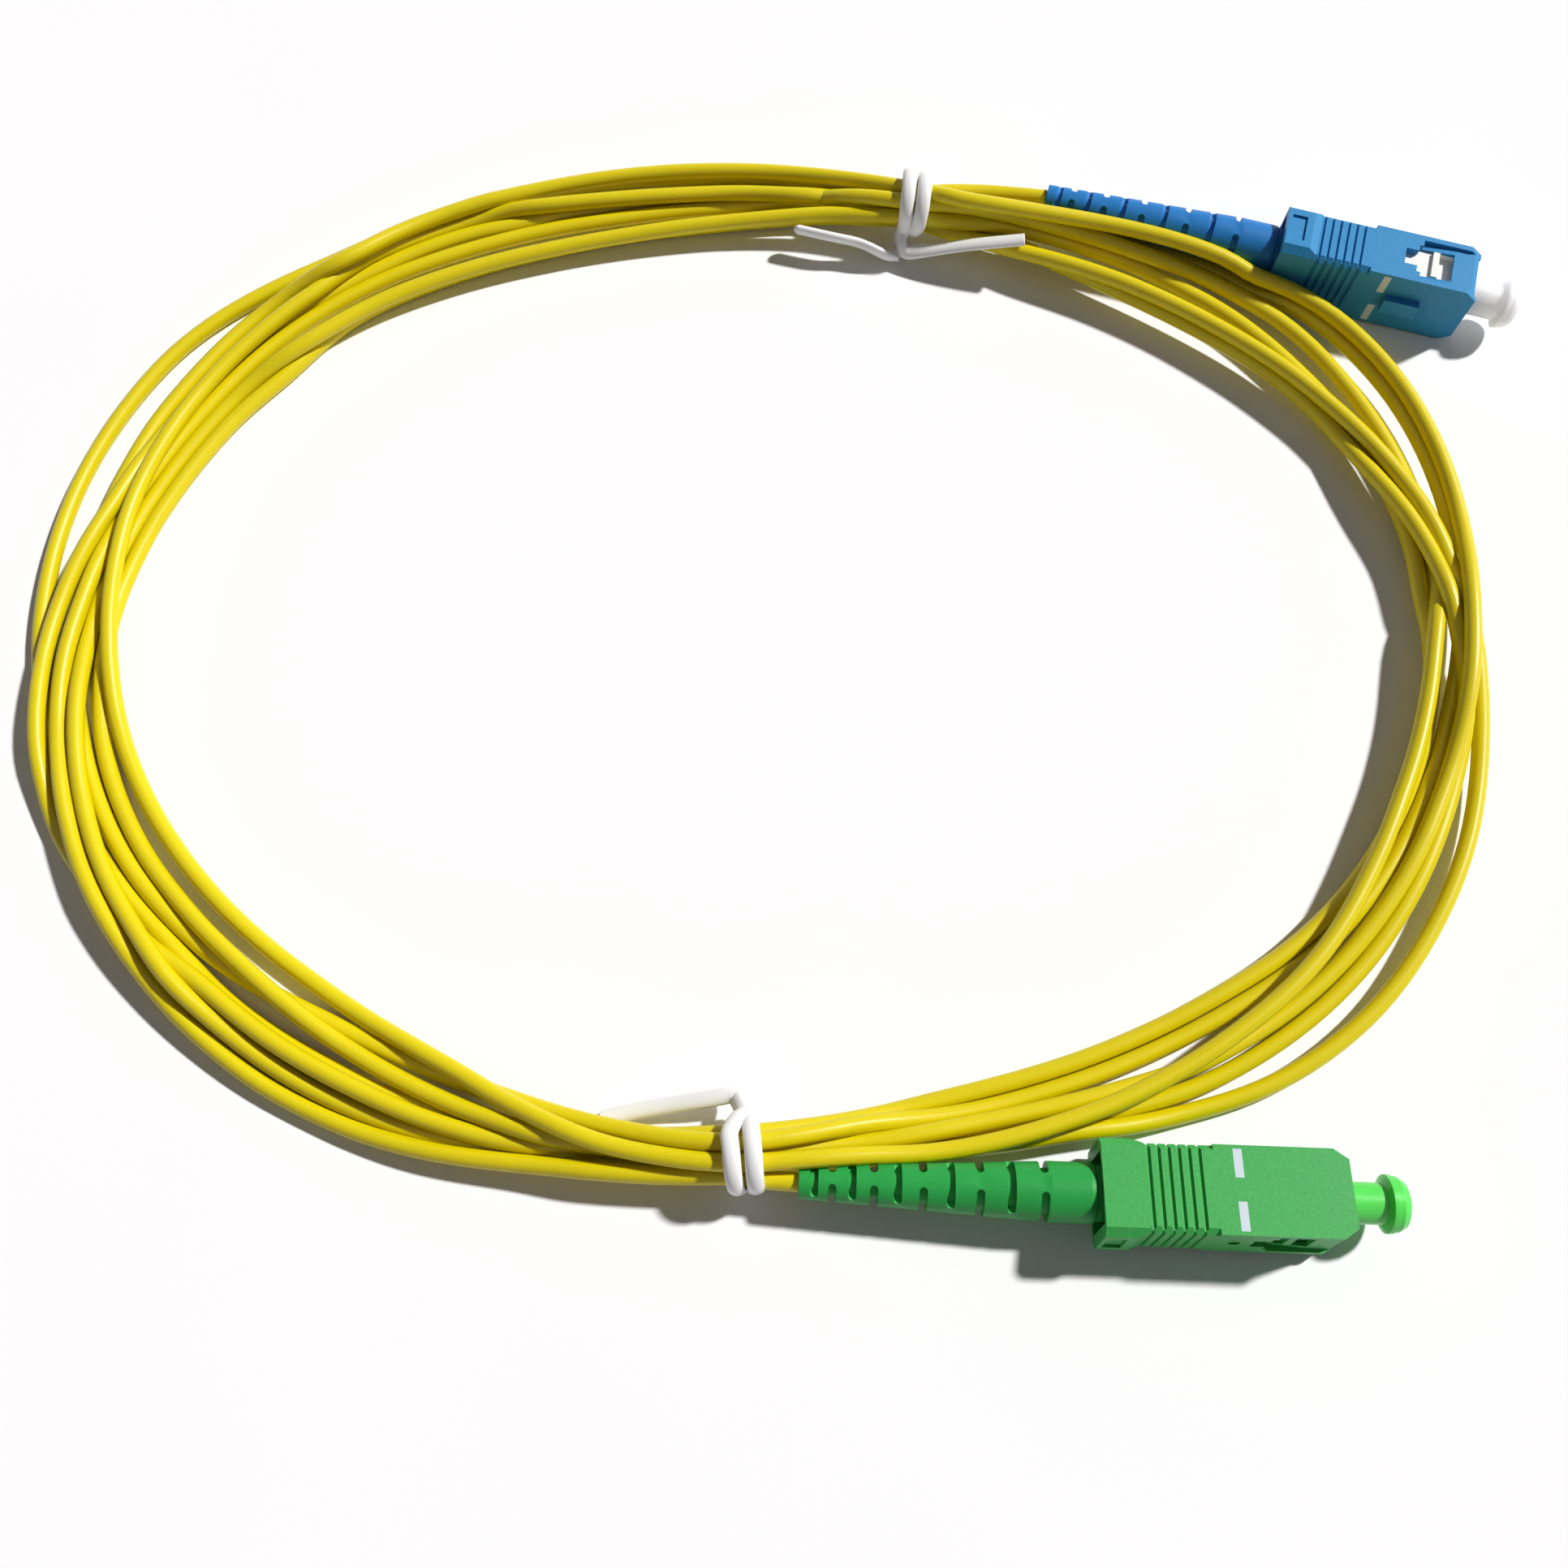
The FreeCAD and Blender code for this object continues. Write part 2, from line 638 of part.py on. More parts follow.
def tube(name, stations, diameter):
    """One unbroken round tube through stations, each a place and a heading. Prints what it measures."""
    edges = []
    radii = []
    for (start, heading), (end, end_heading) in zip(stations, stations[1:]):
        for edge, radius in two_arcs(start, heading, end, end_heading):
            edges.append(edge)
            radii.append(radius)
    path = Part.Wire(edges)
    circle = Part.Circle(stations[0][0], stations[0][1], diameter / 2).toShape()
    shell = Part.BRepOffsetAPI.MakePipeShell(path)
    shell.add(Part.Wire([circle]))
    shell.build()
    shell.makeSolid()
    solid = shell.shape()
    expected = math.pi * diameter ** 2 / 4 * path.Length
    print(f"{name}: {path.Length:.1f} mm long, tightest radius {min(radii):.1f} mm, "
          f"least gap to itself {own_gap(edges, diameter):.2f} mm, "
          f"volume {solid.Volume:.1f} of {expected:.1f} mm3")
    piece = doc.addObject("Part::Feature", name)
    piece.Label = name
    piece.Shape = solid
    return piece


def own_gap(edges, diameter):
    """The least space between two stretches of a tube that lie further apart along it than half a turn."""
    step = diameter * 0.4
    points = []
    travelled = []
    start = 0.0
    for edge in edges:
        count = max(2, math.ceil(edge.Length / step))
        for number in range(count):
            span = edge.LastParameter - edge.FirstParameter
            points.append(edge.valueAt(edge.FirstParameter + span * number / count))
            travelled.append(start + edge.Length * number / count)
        start += edge.Length
    cell = diameter * 2.5
    cells = {}
    for index, point in enumerate(points):
        cells.setdefault(tuple(math.floor(value / cell) for value in point), []).append(index)
    apart = diameter * 4
    least = cell
    for key, members in cells.items():
        near = [index for x in (-1, 0, 1) for y in (-1, 0, 1) for z in (-1, 0, 1)
                for index in cells.get((key[0] + x, key[1] + y, key[2] + z), [])]
        for index in members:
            for other in near:
                if travelled[other] - travelled[index] > apart:
                    least = min(least, (points[index] - points[other]).Length)
    return least - diameter


def flat_heading(degrees):
    angle = math.radians(degrees)
    return Vector(math.cos(angle), math.sin(angle), 0)


def stack_place(quarter, slot, pitch, rise, lift):
    """The place and heading of one turn at a quarter point of the oval."""
    heading = flat_heading(size(quarter + "_heading"))
    outward = Vector(heading.y, -heading.x, 0)
    middle = Vector(size(quarter + "_x"), size(quarter + "_y"), lift)
    return middle + outward * (slot[0] * pitch) + Vector(0, 0, slot[1] * rise), heading


def plug_place(colour):
    """Where a plug's grip lies, on the floor, and its turn about its own axis apart from that."""
    if colour == "blue":
        pitch = size("blue_pitch")
        lean = math.radians(pitch)
        height = size(BLOCK_SIDE) * math.cos(lean) + size("block_length") * math.sin(lean)
        turn = (size("blue_yaw"), pitch, 90)
    else:
        roll = size("green_roll")
        lean = math.radians(abs(roll))
        reach = size("grip_height / 2 + key_height")
        height = reach * math.cos(lean) + size("key_width / 2") * math.sin(lean)
        turn = (size("green_yaw"), 0, 180 + roll)
    middle = Vector(size(colour + "_x"), size(colour + "_y"), height)
    return FreeCAD.Placement(middle, FreeCAD.Rotation(*turn))


def boot_place(colour):
    """A boot isn't keyed to the grip, so it has a roll of its own."""
    place = plug_place(colour)
    yaw, pitch, roll = place.Rotation.toEuler()
    return FreeCAD.Placement(place.Base, FreeCAD.Rotation(yaw, pitch, size(colour + "_boot_roll")))


def cord_mouth(colour):
    """Where the cord leaves the boot, and the way it points there, away from the plug."""
    place = plug_place(colour)
    return place.multVec(Vector(-size("boot_length"), 0, 0)), place.Rotation.multVec(Vector(-1, 0, 0))


def make_coil(name):
    """The whole visible cord: seven turns at the left and at each tie, six at the right."""
    low = size("cord_od / 2")
    straight = size("cord_od")
    tied = (size("tied_pitch"), size("tied_rise"), size("tied_lift"))
    mouth, away = cord_mouth("blue")
    left = (size("left_pitch"), size("left_rise"), low)
    right = (size("right_pitch"), size("right_rise"), low)
    stations = [(mouth, away), (mouth + away * straight, away)]
    for turn in range(TURNS):
        stations.append(stack_place("top", TOP_STACK[turn], *tied))
        stations.append(stack_place("left", LEFT_STACK[turn], *left))
        stations.append(stack_place("bottom", BOTTOM_STACK[turn], *tied))
        if turn < TURNS - 1:
            stations.append(stack_place("right", RIGHT_STACK[turn], *right))
    mouth, away = cord_mouth("green")
    stations += [(mouth + away * straight, away * -1), (mouth, away * -1)]
    return tube(name, stations, size("cord_od"))


def make_tie(name, quarter, stack, last_tail):
    """A plastic tie: a tail, two snug wraps round the bundle and a second tail, both at its inner side."""
    columns = [column for column, row in stack]
    bend = size("cord_od / 2 + tie_clear + tie_od / 2")
    pitch = size("tied_pitch")
    inner = min(columns) * pitch - bend
    outer = max(columns) * pitch + bend
    high = size("tied_rise") + bend
    middle, heading = stack_place(quarter, (0, 1), pitch, size("tied_rise"), size("tied_lift"))
    outward = Vector(heading.y, -heading.x, 0)
    along = heading if heading.x > 0 else heading * -1

    def place(side, height, forward):
        return middle + outward * side + Vector(0, 0, height) + along * forward

    # Once round the bundle: over the top, down the outer side, back underneath and up the inner side
    corners = [
        ((inner + bend, high), (1, 0)), ((outer - bend, high), (1, 0)),
        ((outer, high - bend), (0, -1)), ((outer, bend - high), (0, -1)),
        ((outer - bend, -high), (-1, 0)), ((inner + bend, -high), (-1, 0)),
        ((inner, bend - high), (0, 1)), ((inner, high - bend), (0, 1)),
    ]
    legs = []
    for number, (start, direction) in enumerate(corners):
        end, end_direction = corners[(number + 1) % len(corners)]
        legs.append(math.dist(start, end) if direction == end_direction else bend * math.pi / 2)
    advance = size("tie_pitch") / sum(legs)

    forward = -size("tie_pitch")
    stations = [
        (place(inner, high, forward - bend - size("tie_first_tail")), along),
        (place(inner, high, forward - bend), along),
    ]
    for number in range(2 * len(corners) + 1):
        (side, height), (sideways, up) = corners[number % len(corners)]
        direction = outward * sideways + Vector(0, 0, up) + along * advance
        stations.append((place(side, height, forward), direction * (1 / direction.Length)))
        forward += legs[number % len(corners)] * advance
    forward = size("tie_pitch") + bend
    stations.append((place(inner + 2 * bend, high, forward), along))
    stations.append((place(inner + 2 * bend, high, forward + size(last_tail)), along))
    return tube(name, stations, size("tie_od"))


def make_spring(name):
    """The spring behind the flange, a helix between the rear body and the flange."""
    back = size("rear_collar_front + spring_clear + spring_wire / 2")
    front = size(f"{FLANGE_BACK} - spring_clear - spring_wire / 2")
    radius = size("spring_mean / 2")
    quarters = 4 * SPRING_TURNS
    advance = (front - back) / (2 * math.pi * SPRING_TURNS)
    stations = []
    for number in range(quarters + 1):
        angle = number * math.pi / 2
        place = Vector(back + advance * angle, radius * math.cos(angle), radius * math.sin(angle))
        heading = Vector(advance, -radius * math.sin(angle), radius * math.cos(angle))
        stations.append((place, heading * (1 / heading.Length)))
    return tube(name, stations, size("spring_wire"))


pieces = [
    make_coil("coil"),
    make_tie("top_tie", "top", TOP_STACK, "top_last_tail"),
    make_tie("bottom_tie", "bottom", BOTTOM_STACK, "bottom_last_tail"),
]
for colour in ("blue", "green"):
    angled = colour == "green"
    plug = [
        make_cord_end(colour + "_cord_end"),
        make_crimp_sleeve(colour + "_crimp_sleeve"),
        make_yarn(colour + "_aramid_yarn"),
        make_rear_body(colour + "_rear_body"),
        make_spring(colour + "_spring"),
        make_flange(colour + "_ferrule_flange"),
        make_ferrule(colour + "_ferrule", angled),
        make_fibre(colour + "_buffered_fibre", angled),
        make_plug_frame(colour + "_plug_frame"),
        make_grip(colour + "_grip", side_holes=angled),
        make_dust_cap(colour + "_dust_cap"),
    ]
    for piece in plug:
        piece.Placement = plug_place(colour)
    boot = make_boot(colour + "_boot")
    boot.Placement = boot_place(colour)
    pieces += plug + [boot]
doc.recompute()

# The origin goes under the middle of the whole part.
box = FreeCAD.BoundBox()
for piece in pieces:
    box.add(piece.Shape.optimalBoundingBox(False))
shift = FreeCAD.Placement(Vector(-box.Center.x, -box.Center.y, 0), FreeCAD.Rotation())
for piece in pieces:
    piece.Placement = shift.multiply(piece.Placement)
doc.recompute()
print(f"whole part {box.XLength:.2f} x {box.YLength:.2f} x {box.ZLength:.2f} mm, "
      f"lowest point {box.ZMin:.3f}, moved by {-box.Center.x:.4f}, {-box.Center.y:.4f}")

for thing in doc.Objects:
    if "Invalid" in thing.State or "Error" in thing.State:
        raise RuntimeError(thing.Name + " failed to build")
for piece in pieces:
    if piece.Shape.isNull() or not piece.Shape.isValid() or len(piece.Shape.Solids) != 1:
        raise RuntimeError(piece.Label + " isn't one valid solid")
os.makedirs("parts", exist_ok=True)
for piece in pieces:
    piece.Shape.exportStep(os.path.join("parts", piece.Label + ".step"))
print(len(pieces), "pieces written")
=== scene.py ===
# %% [markdown]
# # A fibre optic patch cord in a loose oval coil
#
# Three metres of yellow 2 mm cord lie in six and a half turns, held by two white plastic ties, with a
# blue plug on one end and a green plug on the other. The plugs come from the CAD frame as they are and
# only get their finishes here. The cord and the ties are soft, so they are modelled again as they lie.

# %% Load the frame
import bmesh
import bpy
import math
import numpy as np
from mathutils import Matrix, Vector


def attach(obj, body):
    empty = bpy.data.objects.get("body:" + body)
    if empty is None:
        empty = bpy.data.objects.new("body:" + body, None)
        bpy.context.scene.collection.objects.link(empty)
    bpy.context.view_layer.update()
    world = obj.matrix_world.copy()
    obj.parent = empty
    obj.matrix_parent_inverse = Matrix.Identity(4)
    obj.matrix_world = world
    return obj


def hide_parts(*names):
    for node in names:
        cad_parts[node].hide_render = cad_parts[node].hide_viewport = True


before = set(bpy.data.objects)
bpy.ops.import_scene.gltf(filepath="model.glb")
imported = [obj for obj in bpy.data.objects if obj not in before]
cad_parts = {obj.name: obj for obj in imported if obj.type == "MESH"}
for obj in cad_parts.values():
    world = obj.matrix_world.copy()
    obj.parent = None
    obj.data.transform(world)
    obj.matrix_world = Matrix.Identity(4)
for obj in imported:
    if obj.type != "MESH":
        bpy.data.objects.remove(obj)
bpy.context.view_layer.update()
MM = 0.001

# %% [markdown]
# ## The camera
#
# The photograph looks down at the coil from its near side. Its camera was worked out from both plugs: it
# looks at a point on the table, and that point is where the picture's middle is.

# %% Camera at the photograph's angle
PICTURE_MIDDLE = Vector((-1.7669, -18.1403, 0)) * MM
CAMERA_FROM_MIDDLE = (0, -58.64, 159.12)
CAMERA_PLACE = PICTURE_MIDDLE + Vector(CAMERA_FROM_MIDDLE) * MM
LENS = 33.44
SENSOR = 36

camera_data = bpy.data.cameras.new("camera")
camera_data.lens = LENS
camera_data.sensor_width = SENSOR
camera_data.sensor_fit = "HORIZONTAL"
camera_data.clip_start = 0.01
camera = bpy.data.objects.new("camera", camera_data)
camera.location = CAMERA_PLACE
camera.rotation_euler = (PICTURE_MIDDLE - CAMERA_PLACE).to_track_quat("-Z", "Y").to_euler()
bpy.context.scene.collection.objects.link(camera)
bpy.context.scene.camera = camera
print("camera stands", round((CAMERA_PLACE - PICTURE_MIDDLE).length / MM), "mm from the table's middle")

# %% [markdown]
# ## The middle line of the coil
#
# All turns run near one oval. It is easiest to describe it by its four quarter points and the way the
# cord runs there, and to join these by pairs of arcs that meet smoothly. Every turn is then a distance
# outward of this line, so a turn is a short list and not a cloud of points. A quarter point is x, y and
# the cord's heading there in degrees, and the picture's middle is at zero.

# %% Oval through four quarter points
QUARTERS = [(17.5, 79.6, 164), (-85.2, 21.0, 270), (-4.3, -41.8, 3), (78.9, 21.0, 90)]
FINE = 0.1


def arc(start, heading, end):
    """Points from start to end on the arc that leaves start along heading."""
    side = np.array([-heading[1], heading[0]])
    chord = end - start
    along = chord @ heading
    across = chord @ side
    half_turn = math.atan2(across, along)
    radius = (chord @ chord) / (2 * across)
    length = 2 * half_turn * radius
    angle = np.linspace(0, 2 * half_turn, max(2, round(length / FINE)))[:, None]
    return start + radius * (np.sin(angle) * heading + (1 - np.cos(angle)) * side)


def two_arcs(start, heading, end, end_heading):
    """Points on the two arcs that leave start along heading, meet, and reach end along end_heading."""
    chord = end - start
    sharpness = 2 * (1 - heading @ end_heading)
    reach = chord @ (heading + end_heading)
    leg = (math.sqrt(reach ** 2 + sharpness * (chord @ chord)) - reach) / sharpness
    meeting = (start + heading * leg + end - end_heading * leg) / 2
    return np.vstack([arc(start, heading, meeting), arc(end, -end_heading, meeting)[::-1]])


corners = []
for x, y, degrees in QUARTERS:
    turn = math.radians(degrees)
    corners.append((np.array([x, y]), np.array([math.cos(turn), math.sin(turn)])))
line = np.vstack([two_arcs(*corners[number], *corners[(number + 1) % 4]) for number in range(4)])
line = np.vstack([line[np.linalg.norm(np.diff(line, axis=0, append=line[:1]), axis=1) > 1e-6], line[:1]])
travel = np.concatenate([[0], np.cumsum(np.linalg.norm(np.diff(line, axis=0), axis=1))])
LAP = travel[-1]
BOTTOM = travel[np.argmin(np.linalg.norm(line - corners[2][0], axis=1))]
print(f"once round is {LAP:.1f} mm, the bottom tie is {BOTTOM:.1f} mm from the top tie")


def oval(distance):
    """The oval's points and its outward directions at distances from the top tie."""
    here = np.stack([np.interp(distance % LAP, travel, line[:, axis]) for axis in (0, 1)], -1)
    ahead = np.stack([np.interp((distance + FINE * 2) % LAP, travel, line[:, axis]) for axis in (0, 1)], -1)
    heading = (ahead - here) / np.linalg.norm(ahead - here, axis=-1, keepdims=True)
    return here, np.stack([heading[..., 1], -heading[..., 0]], -1)


# %% [markdown]
# ## Where each turn shows
#
# A real coil isn't a stack of rings: turns cross over and under each other between the ties. These lists
# follow each turn from one tie to the next. A row is the distance from the top tie, how far outward the
# turn shows in the photograph, as if it lay 2.5 mm up, and about how high it lies, all in millimetres. At
# a tie the seven turns are one round bundle, a turn in the middle and six round it.

# %% Turns from the top tie round the left side to the bottom tie
LEFT_TURNS = {
    "crest": [
        (0, 4.5, 6.3), (5, 4.6, 5.6), (12, 4.4, 4.2), (20, 4.4, 3.4), (30, 4.3, 2.8),
        (40, 4.1, 2.8), (50, 3.8, 2.8), (60, 3.6, 2.8), (70, 3.0, 2.8), (78, 1.9, 2.0),
        (90, 1.1, 1.0), (100, 0.5, 1.0), (110, 0.0, 1.0), (118, -0.2, 1.0), (140, -1.0, 1.0),
        (170, -1.7, 1.0), (190, -3.0, 1.0), (205, -3.9, 1.0), (215, -3.8, 1.5), (225, -3.2, 2.8),
        (240, -1.6, 4.5), (249, -0.7, 6.3),
    ],
    "outer": [
        (-15.6, 9.0, 4.3), (-12, 8.2, 4.3), (-8, 7.0, 4.6), (-3, 5.7, 4.8), (0, 5.0, 4.7),
        (3, 4.3, 4.4), (10, 3.6, 2.5), (20, 3.0, 1.2), (30, 3.1, 1.0), (42, 3.4, 1.0),
        (60, 3.0, 1.0), (78, 2.4, 1.0), (85, 3.3, 1.0), (90, 4.0, 1.0), (95, 4.7, 1.0),
        (100, 5.1, 1.0), (110, 5.0, 1.0), (120, 4.7, 1.0), (130, 4.1, 1.0), (140, 3.4, 1.0),
        (150, 2.4, 1.0), (160, 1.4, 1.0), (175, 0.0, 1.0), (185, -0.2, 1.0), (195, 0.2, 1.0),
        (210, 0.4, 1.0), (225, 0.2, 1.5), (240, -1.0, 3.0), (250, -1.6, 4.6),
    ],
    "bulge": [
        (0, 1.5, 2.9), (15, 0.6, 1.4), (30, -0.6, 1.0), (45, -1.2, 1.0), (60, -0.9, 1.0),
        (70, -1.1, 1.0), (80, -1.8, 1.0), (90, -1.9, 1.0), (100, -1.8, 1.0), (110, -1.5, 1.0),
        (116, -1.2, 1.2), (120, -1.0, 1.6), (125, 0.0, 2.2), (130, 0.9, 2.8), (135, 1.6, 2.8),
        (140, 2.4, 2.8), (145, 3.0, 2.8), (150, 3.5, 2.4), (155, 3.8, 1.8), (160, 3.8, 1.2),
        (165, 3.6, 1.0), (175, 2.0, 1.0), (182, 0.9, 1.2), (190, 0.4, 2.4), (200, 0.9, 2.8),
        (210, 1.1, 2.8), (220, 1.4, 2.4), (228, 1.2, 2.0), (240, 0.4, 2.4), (250, -0.6, 2.9),
    ],
    "over": [
        (0, 2.0, 4.6), (10, 1.2, 3.0), (20, 0.7, 1.6), (30, 0.4, 1.0), (40, 0.4, 1.0),
        (50, 0.9, 1.0), (60, 1.4, 1.3), (70, 1.1, 2.0), (80, 0.2, 2.8), (90, -0.9, 2.8),
        (100, -1.4, 2.8), (110, -2.0, 2.8), (120, -2.5, 3.0), (130, -3.6, 3.0), (140, -4.6, 2.8),
        (150, -5.5, 2.0), (160, -6.3, 1.3), (170, -6.9, 1.0), (180, -7.2, 1.0), (190, -7.1, 1.0),
        (200, -6.6, 1.2), (210, -5.6, 2.0), (220, -4.3, 3.0), (225, -2.9, 3.6), (230, -1.6, 4.2),
        (235, -0.5, 4.8), (240, 0.2, 5.4), (245, 0.7, 5.9), (250, 1.2, 6.3),
    ],
    "last": [
        (0, 2.5, 6.3), (5, 2.4, 5.6), (10, 1.5, 4.6), (15, 0.3, 3.6), (20, -0.9, 2.8),
        (25, -1.7, 2.0), (30, -2.3, 1.5), (40, -3.1, 1.0), (60, -3.4, 1.0), (80, -3.6, 1.0),
        (100, -4.0, 1.0), (110, -4.2, 1.0), (118, -3.6, 1.0), (126, -2.2, 1.0), (135, -0.9, 1.4),
        (140, -0.2, 1.8), (145, 0.5, 2.2), (150, 1.0, 2.4), (160, 2.0, 2.8), (170, 3.0, 2.8),
        (180, 3.5, 2.8), (190, 4.4, 2.0), (200, 5.2, 1.5), (210, 5.1, 1.4), (220, 4.2, 1.8),
        (230, 2.9, 2.8), (240, 2.5, 3.8), (249, 2.6, 4.6), (254, 3.0, 4.8),
    ],
    "inner": [
        (0, 0.0, 4.6), (5, -0.8, 4.4), (10, -1.4, 4.0), (20, -3.5, 3.2), (30, -4.9, 2.8),
        (40, -5.9, 2.8), (50, -6.3, 2.8), (70, -6.3, 2.6), (80, -6.3, 1.8), (90, -6.3, 1.0),
        (100, -6.1, 1.0), (110, -5.9, 1.0), (120, -5.3, 1.0), (130, -3.9, 1.0), (140, -2.2, 1.2),
        (145, -1.6, 1.5), (150, -1.0, 2.0), (160, -0.1, 2.6), (170, 0.9, 2.8), (180, 1.5, 2.8),
        (190, 2.3, 2.6), (200, 3.0, 2.0), (210, 3.2, 1.6), (220, 2.8, 1.4), (230, 2.0, 1.8),
        (240, 1.4, 2.4), (250, 1.4, 2.9),
    ],
    "hidden": [
        (0, -0.5, 2.9), (10, -1.9, 1.6), (20, -3.9, 1.0), (30, -5.3, 1.0), (50, -6.6, 1.0),
        (70, -6.9, 1.0), (80, -7.1, 1.0), (85, -7.6, 1.0), (90, -8.3, 1.0), (95, -8.5, 1.0),
        (100, -8.3, 1.0), (105, -7.9, 1.0), (110, -7.3, 1.0), (115, -6.6, 1.0), (120, -6.1, 1.0),
        (130, -5.4, 1.0), (140, -4.6, 1.0), (155, -3.6, 1.0), (170, -3.8, 1.0), (190, -3.8, 1.5),
        (200, -3.0, 2.0), (210, -1.9, 2.4), (220, -0.9, 2.6), (230, 0.0, 2.8), (240, 0.0, 3.6),
        (250, 0.4, 4.6),
    ],
}

# %% Turns from the bottom tie round the right side to the top tie
RIGHT_TURNS = {
    "sweeping": [
        (254, 1.4, 6.3), (260, 1.7, 5.6), (265, 2.2, 5.0), (270, 2.8, 4.6), (275, 3.2, 4.6),
        (280, 3.4, 4.6), (290, 3.5, 4.6), (300, 2.9, 4.6), (310, 1.7, 4.4), (320, 0.1, 4.0),
        (330, -1.7, 3.4), (340, -2.6, 2.8), (350, -2.4, 2.0), (360, -1.6, 1.0), (375, 0.4, 1.0),
        (390, 2.6, 1.0), (395, 3.4, 1.0), (400, 4.3, 1.0), (405, 5.4, 1.0), (410, 6.3, 1.0),
        (415, 6.7, 1.5), (420, 6.6, 2.0), (425, 6.2, 2.6), (435, 5.6, 3.8), (445, 4.7, 5.0),
        (455, 3.4, 6.3),
    ],
    "widest": [
        (253, 1.4, 2.9), (265, 2.0, 1.5), (275, 3.0, 1.0), (285, 4.5, 1.0), (290, 5.6, 1.0),
        (295, 6.8, 1.0), (300, 7.8, 1.0), (305, 8.6, 1.0), (310, 8.9, 1.0), (320, 8.4, 1.0),
        (330, 7.1, 1.0), (340, 5.9, 1.0), (350, 4.4, 1.5), (357, 3.7, 2.2), (366, 2.9, 2.8),
        (375, 2.4, 2.8), (380, 2.1, 2.8), (390, 1.0, 2.8), (400, 0.4, 2.8), (410, 0.5, 2.8),
        (420, 0.8, 2.8), (430, 0.7, 2.8), (440, -0.1, 3.0), (445, -0.8, 3.0), (456, -0.6, 2.9),
    ],
    "second": [
        (253, -0.6, 2.9), (265, 0.8, 1.4), (280, 2.8, 1.0), (290, 4.4, 1.0), (295, 5.0, 1.0),
        (300, 5.4, 1.0), (305, 5.5, 1.0), (310, 5.3, 1.0), (320, 4.4, 1.0), (330, 3.4, 1.0),
        (340, 2.6, 1.0), (350, 2.2, 1.5), (360, 1.9, 2.2), (366, 1.7, 2.8), (370, 1.0, 2.8),
        (375, 0.6, 2.8), (380, -0.2, 2.8), (385, -1.0, 2.2), (390, -1.7, 1.5), (400, -1.6, 1.0),
        (410, -1.3, 1.0), (430, -1.0, 1.0), (440, -0.4, 2.0), (456, 2.0, 4.6),
    ],
    "proud": [
        (253, 0.4, 4.6), (258, 0.2, 4.2), (265, 0.4, 3.5), (270, 0.5, 3.0), (275, 0.9, 2.8),
        (280, 1.3, 2.8), (285, 1.7, 2.8), (290, 2.2, 2.8), (300, 3.3, 2.4), (310, 3.2, 1.8),
        (320, 2.4, 1.8), (330, 1.7, 2.2), (340, 1.4, 2.8), (345, 1.5, 2.8), (350, 1.9, 3.1),
        (355, 2.4, 3.6), (360, 3.0, 4.2), (365, 3.5, 4.5), (370, 4.2, 4.2), (375, 5.1, 3.4),
        (380, 6.2, 2.4), (385, 7.4, 1.6), (390, 8.6, 1.0), (395, 9.8, 1.2), (400, 10.6, 1.5),
        (405, 11.2, 2.0), (410, 11.5, 3.0), (415, 11.4, 4.3), (420, 11.0, 5.0), (425, 10.2, 5.5),
        (430, 9.2, 5.6), (435, 8.1, 5.4), (440, 6.9, 5.4), (445, 6.0, 5.8), (450, 5.2, 6.0),
        (456, 4.4, 6.3),
    ],
    "low": [
        (253, -0.7, 6.3), (262, -1.1, 3.6), (275, -0.6, 1.5), (280, -0.3, 1.0), (290, 0.0, 1.0),
        (300, 0.1, 1.0), (310, -0.4, 1.0), (320, -0.6, 1.0), (330, -0.6, 1.0), (340, -0.4, 1.0),
        (350, 0.2, 1.0), (360, 1.2, 1.0), (370, 2.8, 1.0), (377, 4.0, 1.0), (385, 5.7, 1.0),
        (390, 6.8, 1.0), (395, 7.8, 1.0), (400, 8.6, 1.0), (405, 9.1, 1.0), (410, 9.3, 1.0),
        (415, 9.1, 1.0), (420, 8.6, 1.0), (430, 7.0, 1.2), (440, 5.0, 1.8), (450, 3.0, 2.4),
        (456, 1.5, 2.9),
    ],
    "innermost": [
        (253, -1.6, 4.6), (258, -1.7, 3.6), (270, -2.0, 1.6), (280, -2.1, 1.0), (290, -1.9, 1.0),
        (300, -1.9, 1.0), (310, -1.8, 1.0), (320, -1.6, 1.0), (335, -1.9, 1.0), (345, -2.2, 1.0),
        (360, -1.9, 1.0), (375, -1.6, 1.0), (390, -0.6, 1.0), (405, 1.2, 1.0), (410, 2.2, 1.0),
        (415, 3.0, 1.0), (420, 3.4, 1.3), (430, 3.8, 2.2), (440, 3.3, 3.2), (445, 2.8, 3.6),
        (450, 2.2, 4.0), (456, 0.3, 4.6),
    ],
}
print(len(LEFT_TURNS), "turns on the left,", len(RIGHT_TURNS), "on the right")

# %% [markdown]
# ## One cord through all the turns
#
# The cord leaves the blue plug's boot just before the top tie and ends in the green plug's boot just after
# the bottom tie. Between them it takes the turns in this order, so the lists join into one long list.
# The standing blue plug holds the right side of the coil a little off the table. Its shadow there is wider,
# and that gives the lift in millimetres at distances round the oval.

# %% Join the turns in the order the cord takes them
LIFTS = [(0, 0.45), (10, 0.45), (50, 0), (300, 0), (335, 1.4), (440, 1.4), (452, 0.6), (LAP, 0.45)]
ORDER = ["outer", "innermost", "inner", "widest", "hidden", "proud", "crest",
         "low", "bulge", "second", "over", "sweeping", "last"]
CORD = 2.0
PER_LAP = 128
STEP = LAP / PER_LAP
SEEN_LEVEL = 2.5
BUNDLE = {"top": (0.1, 5.1), "bottom": (0.65, 4.65)}

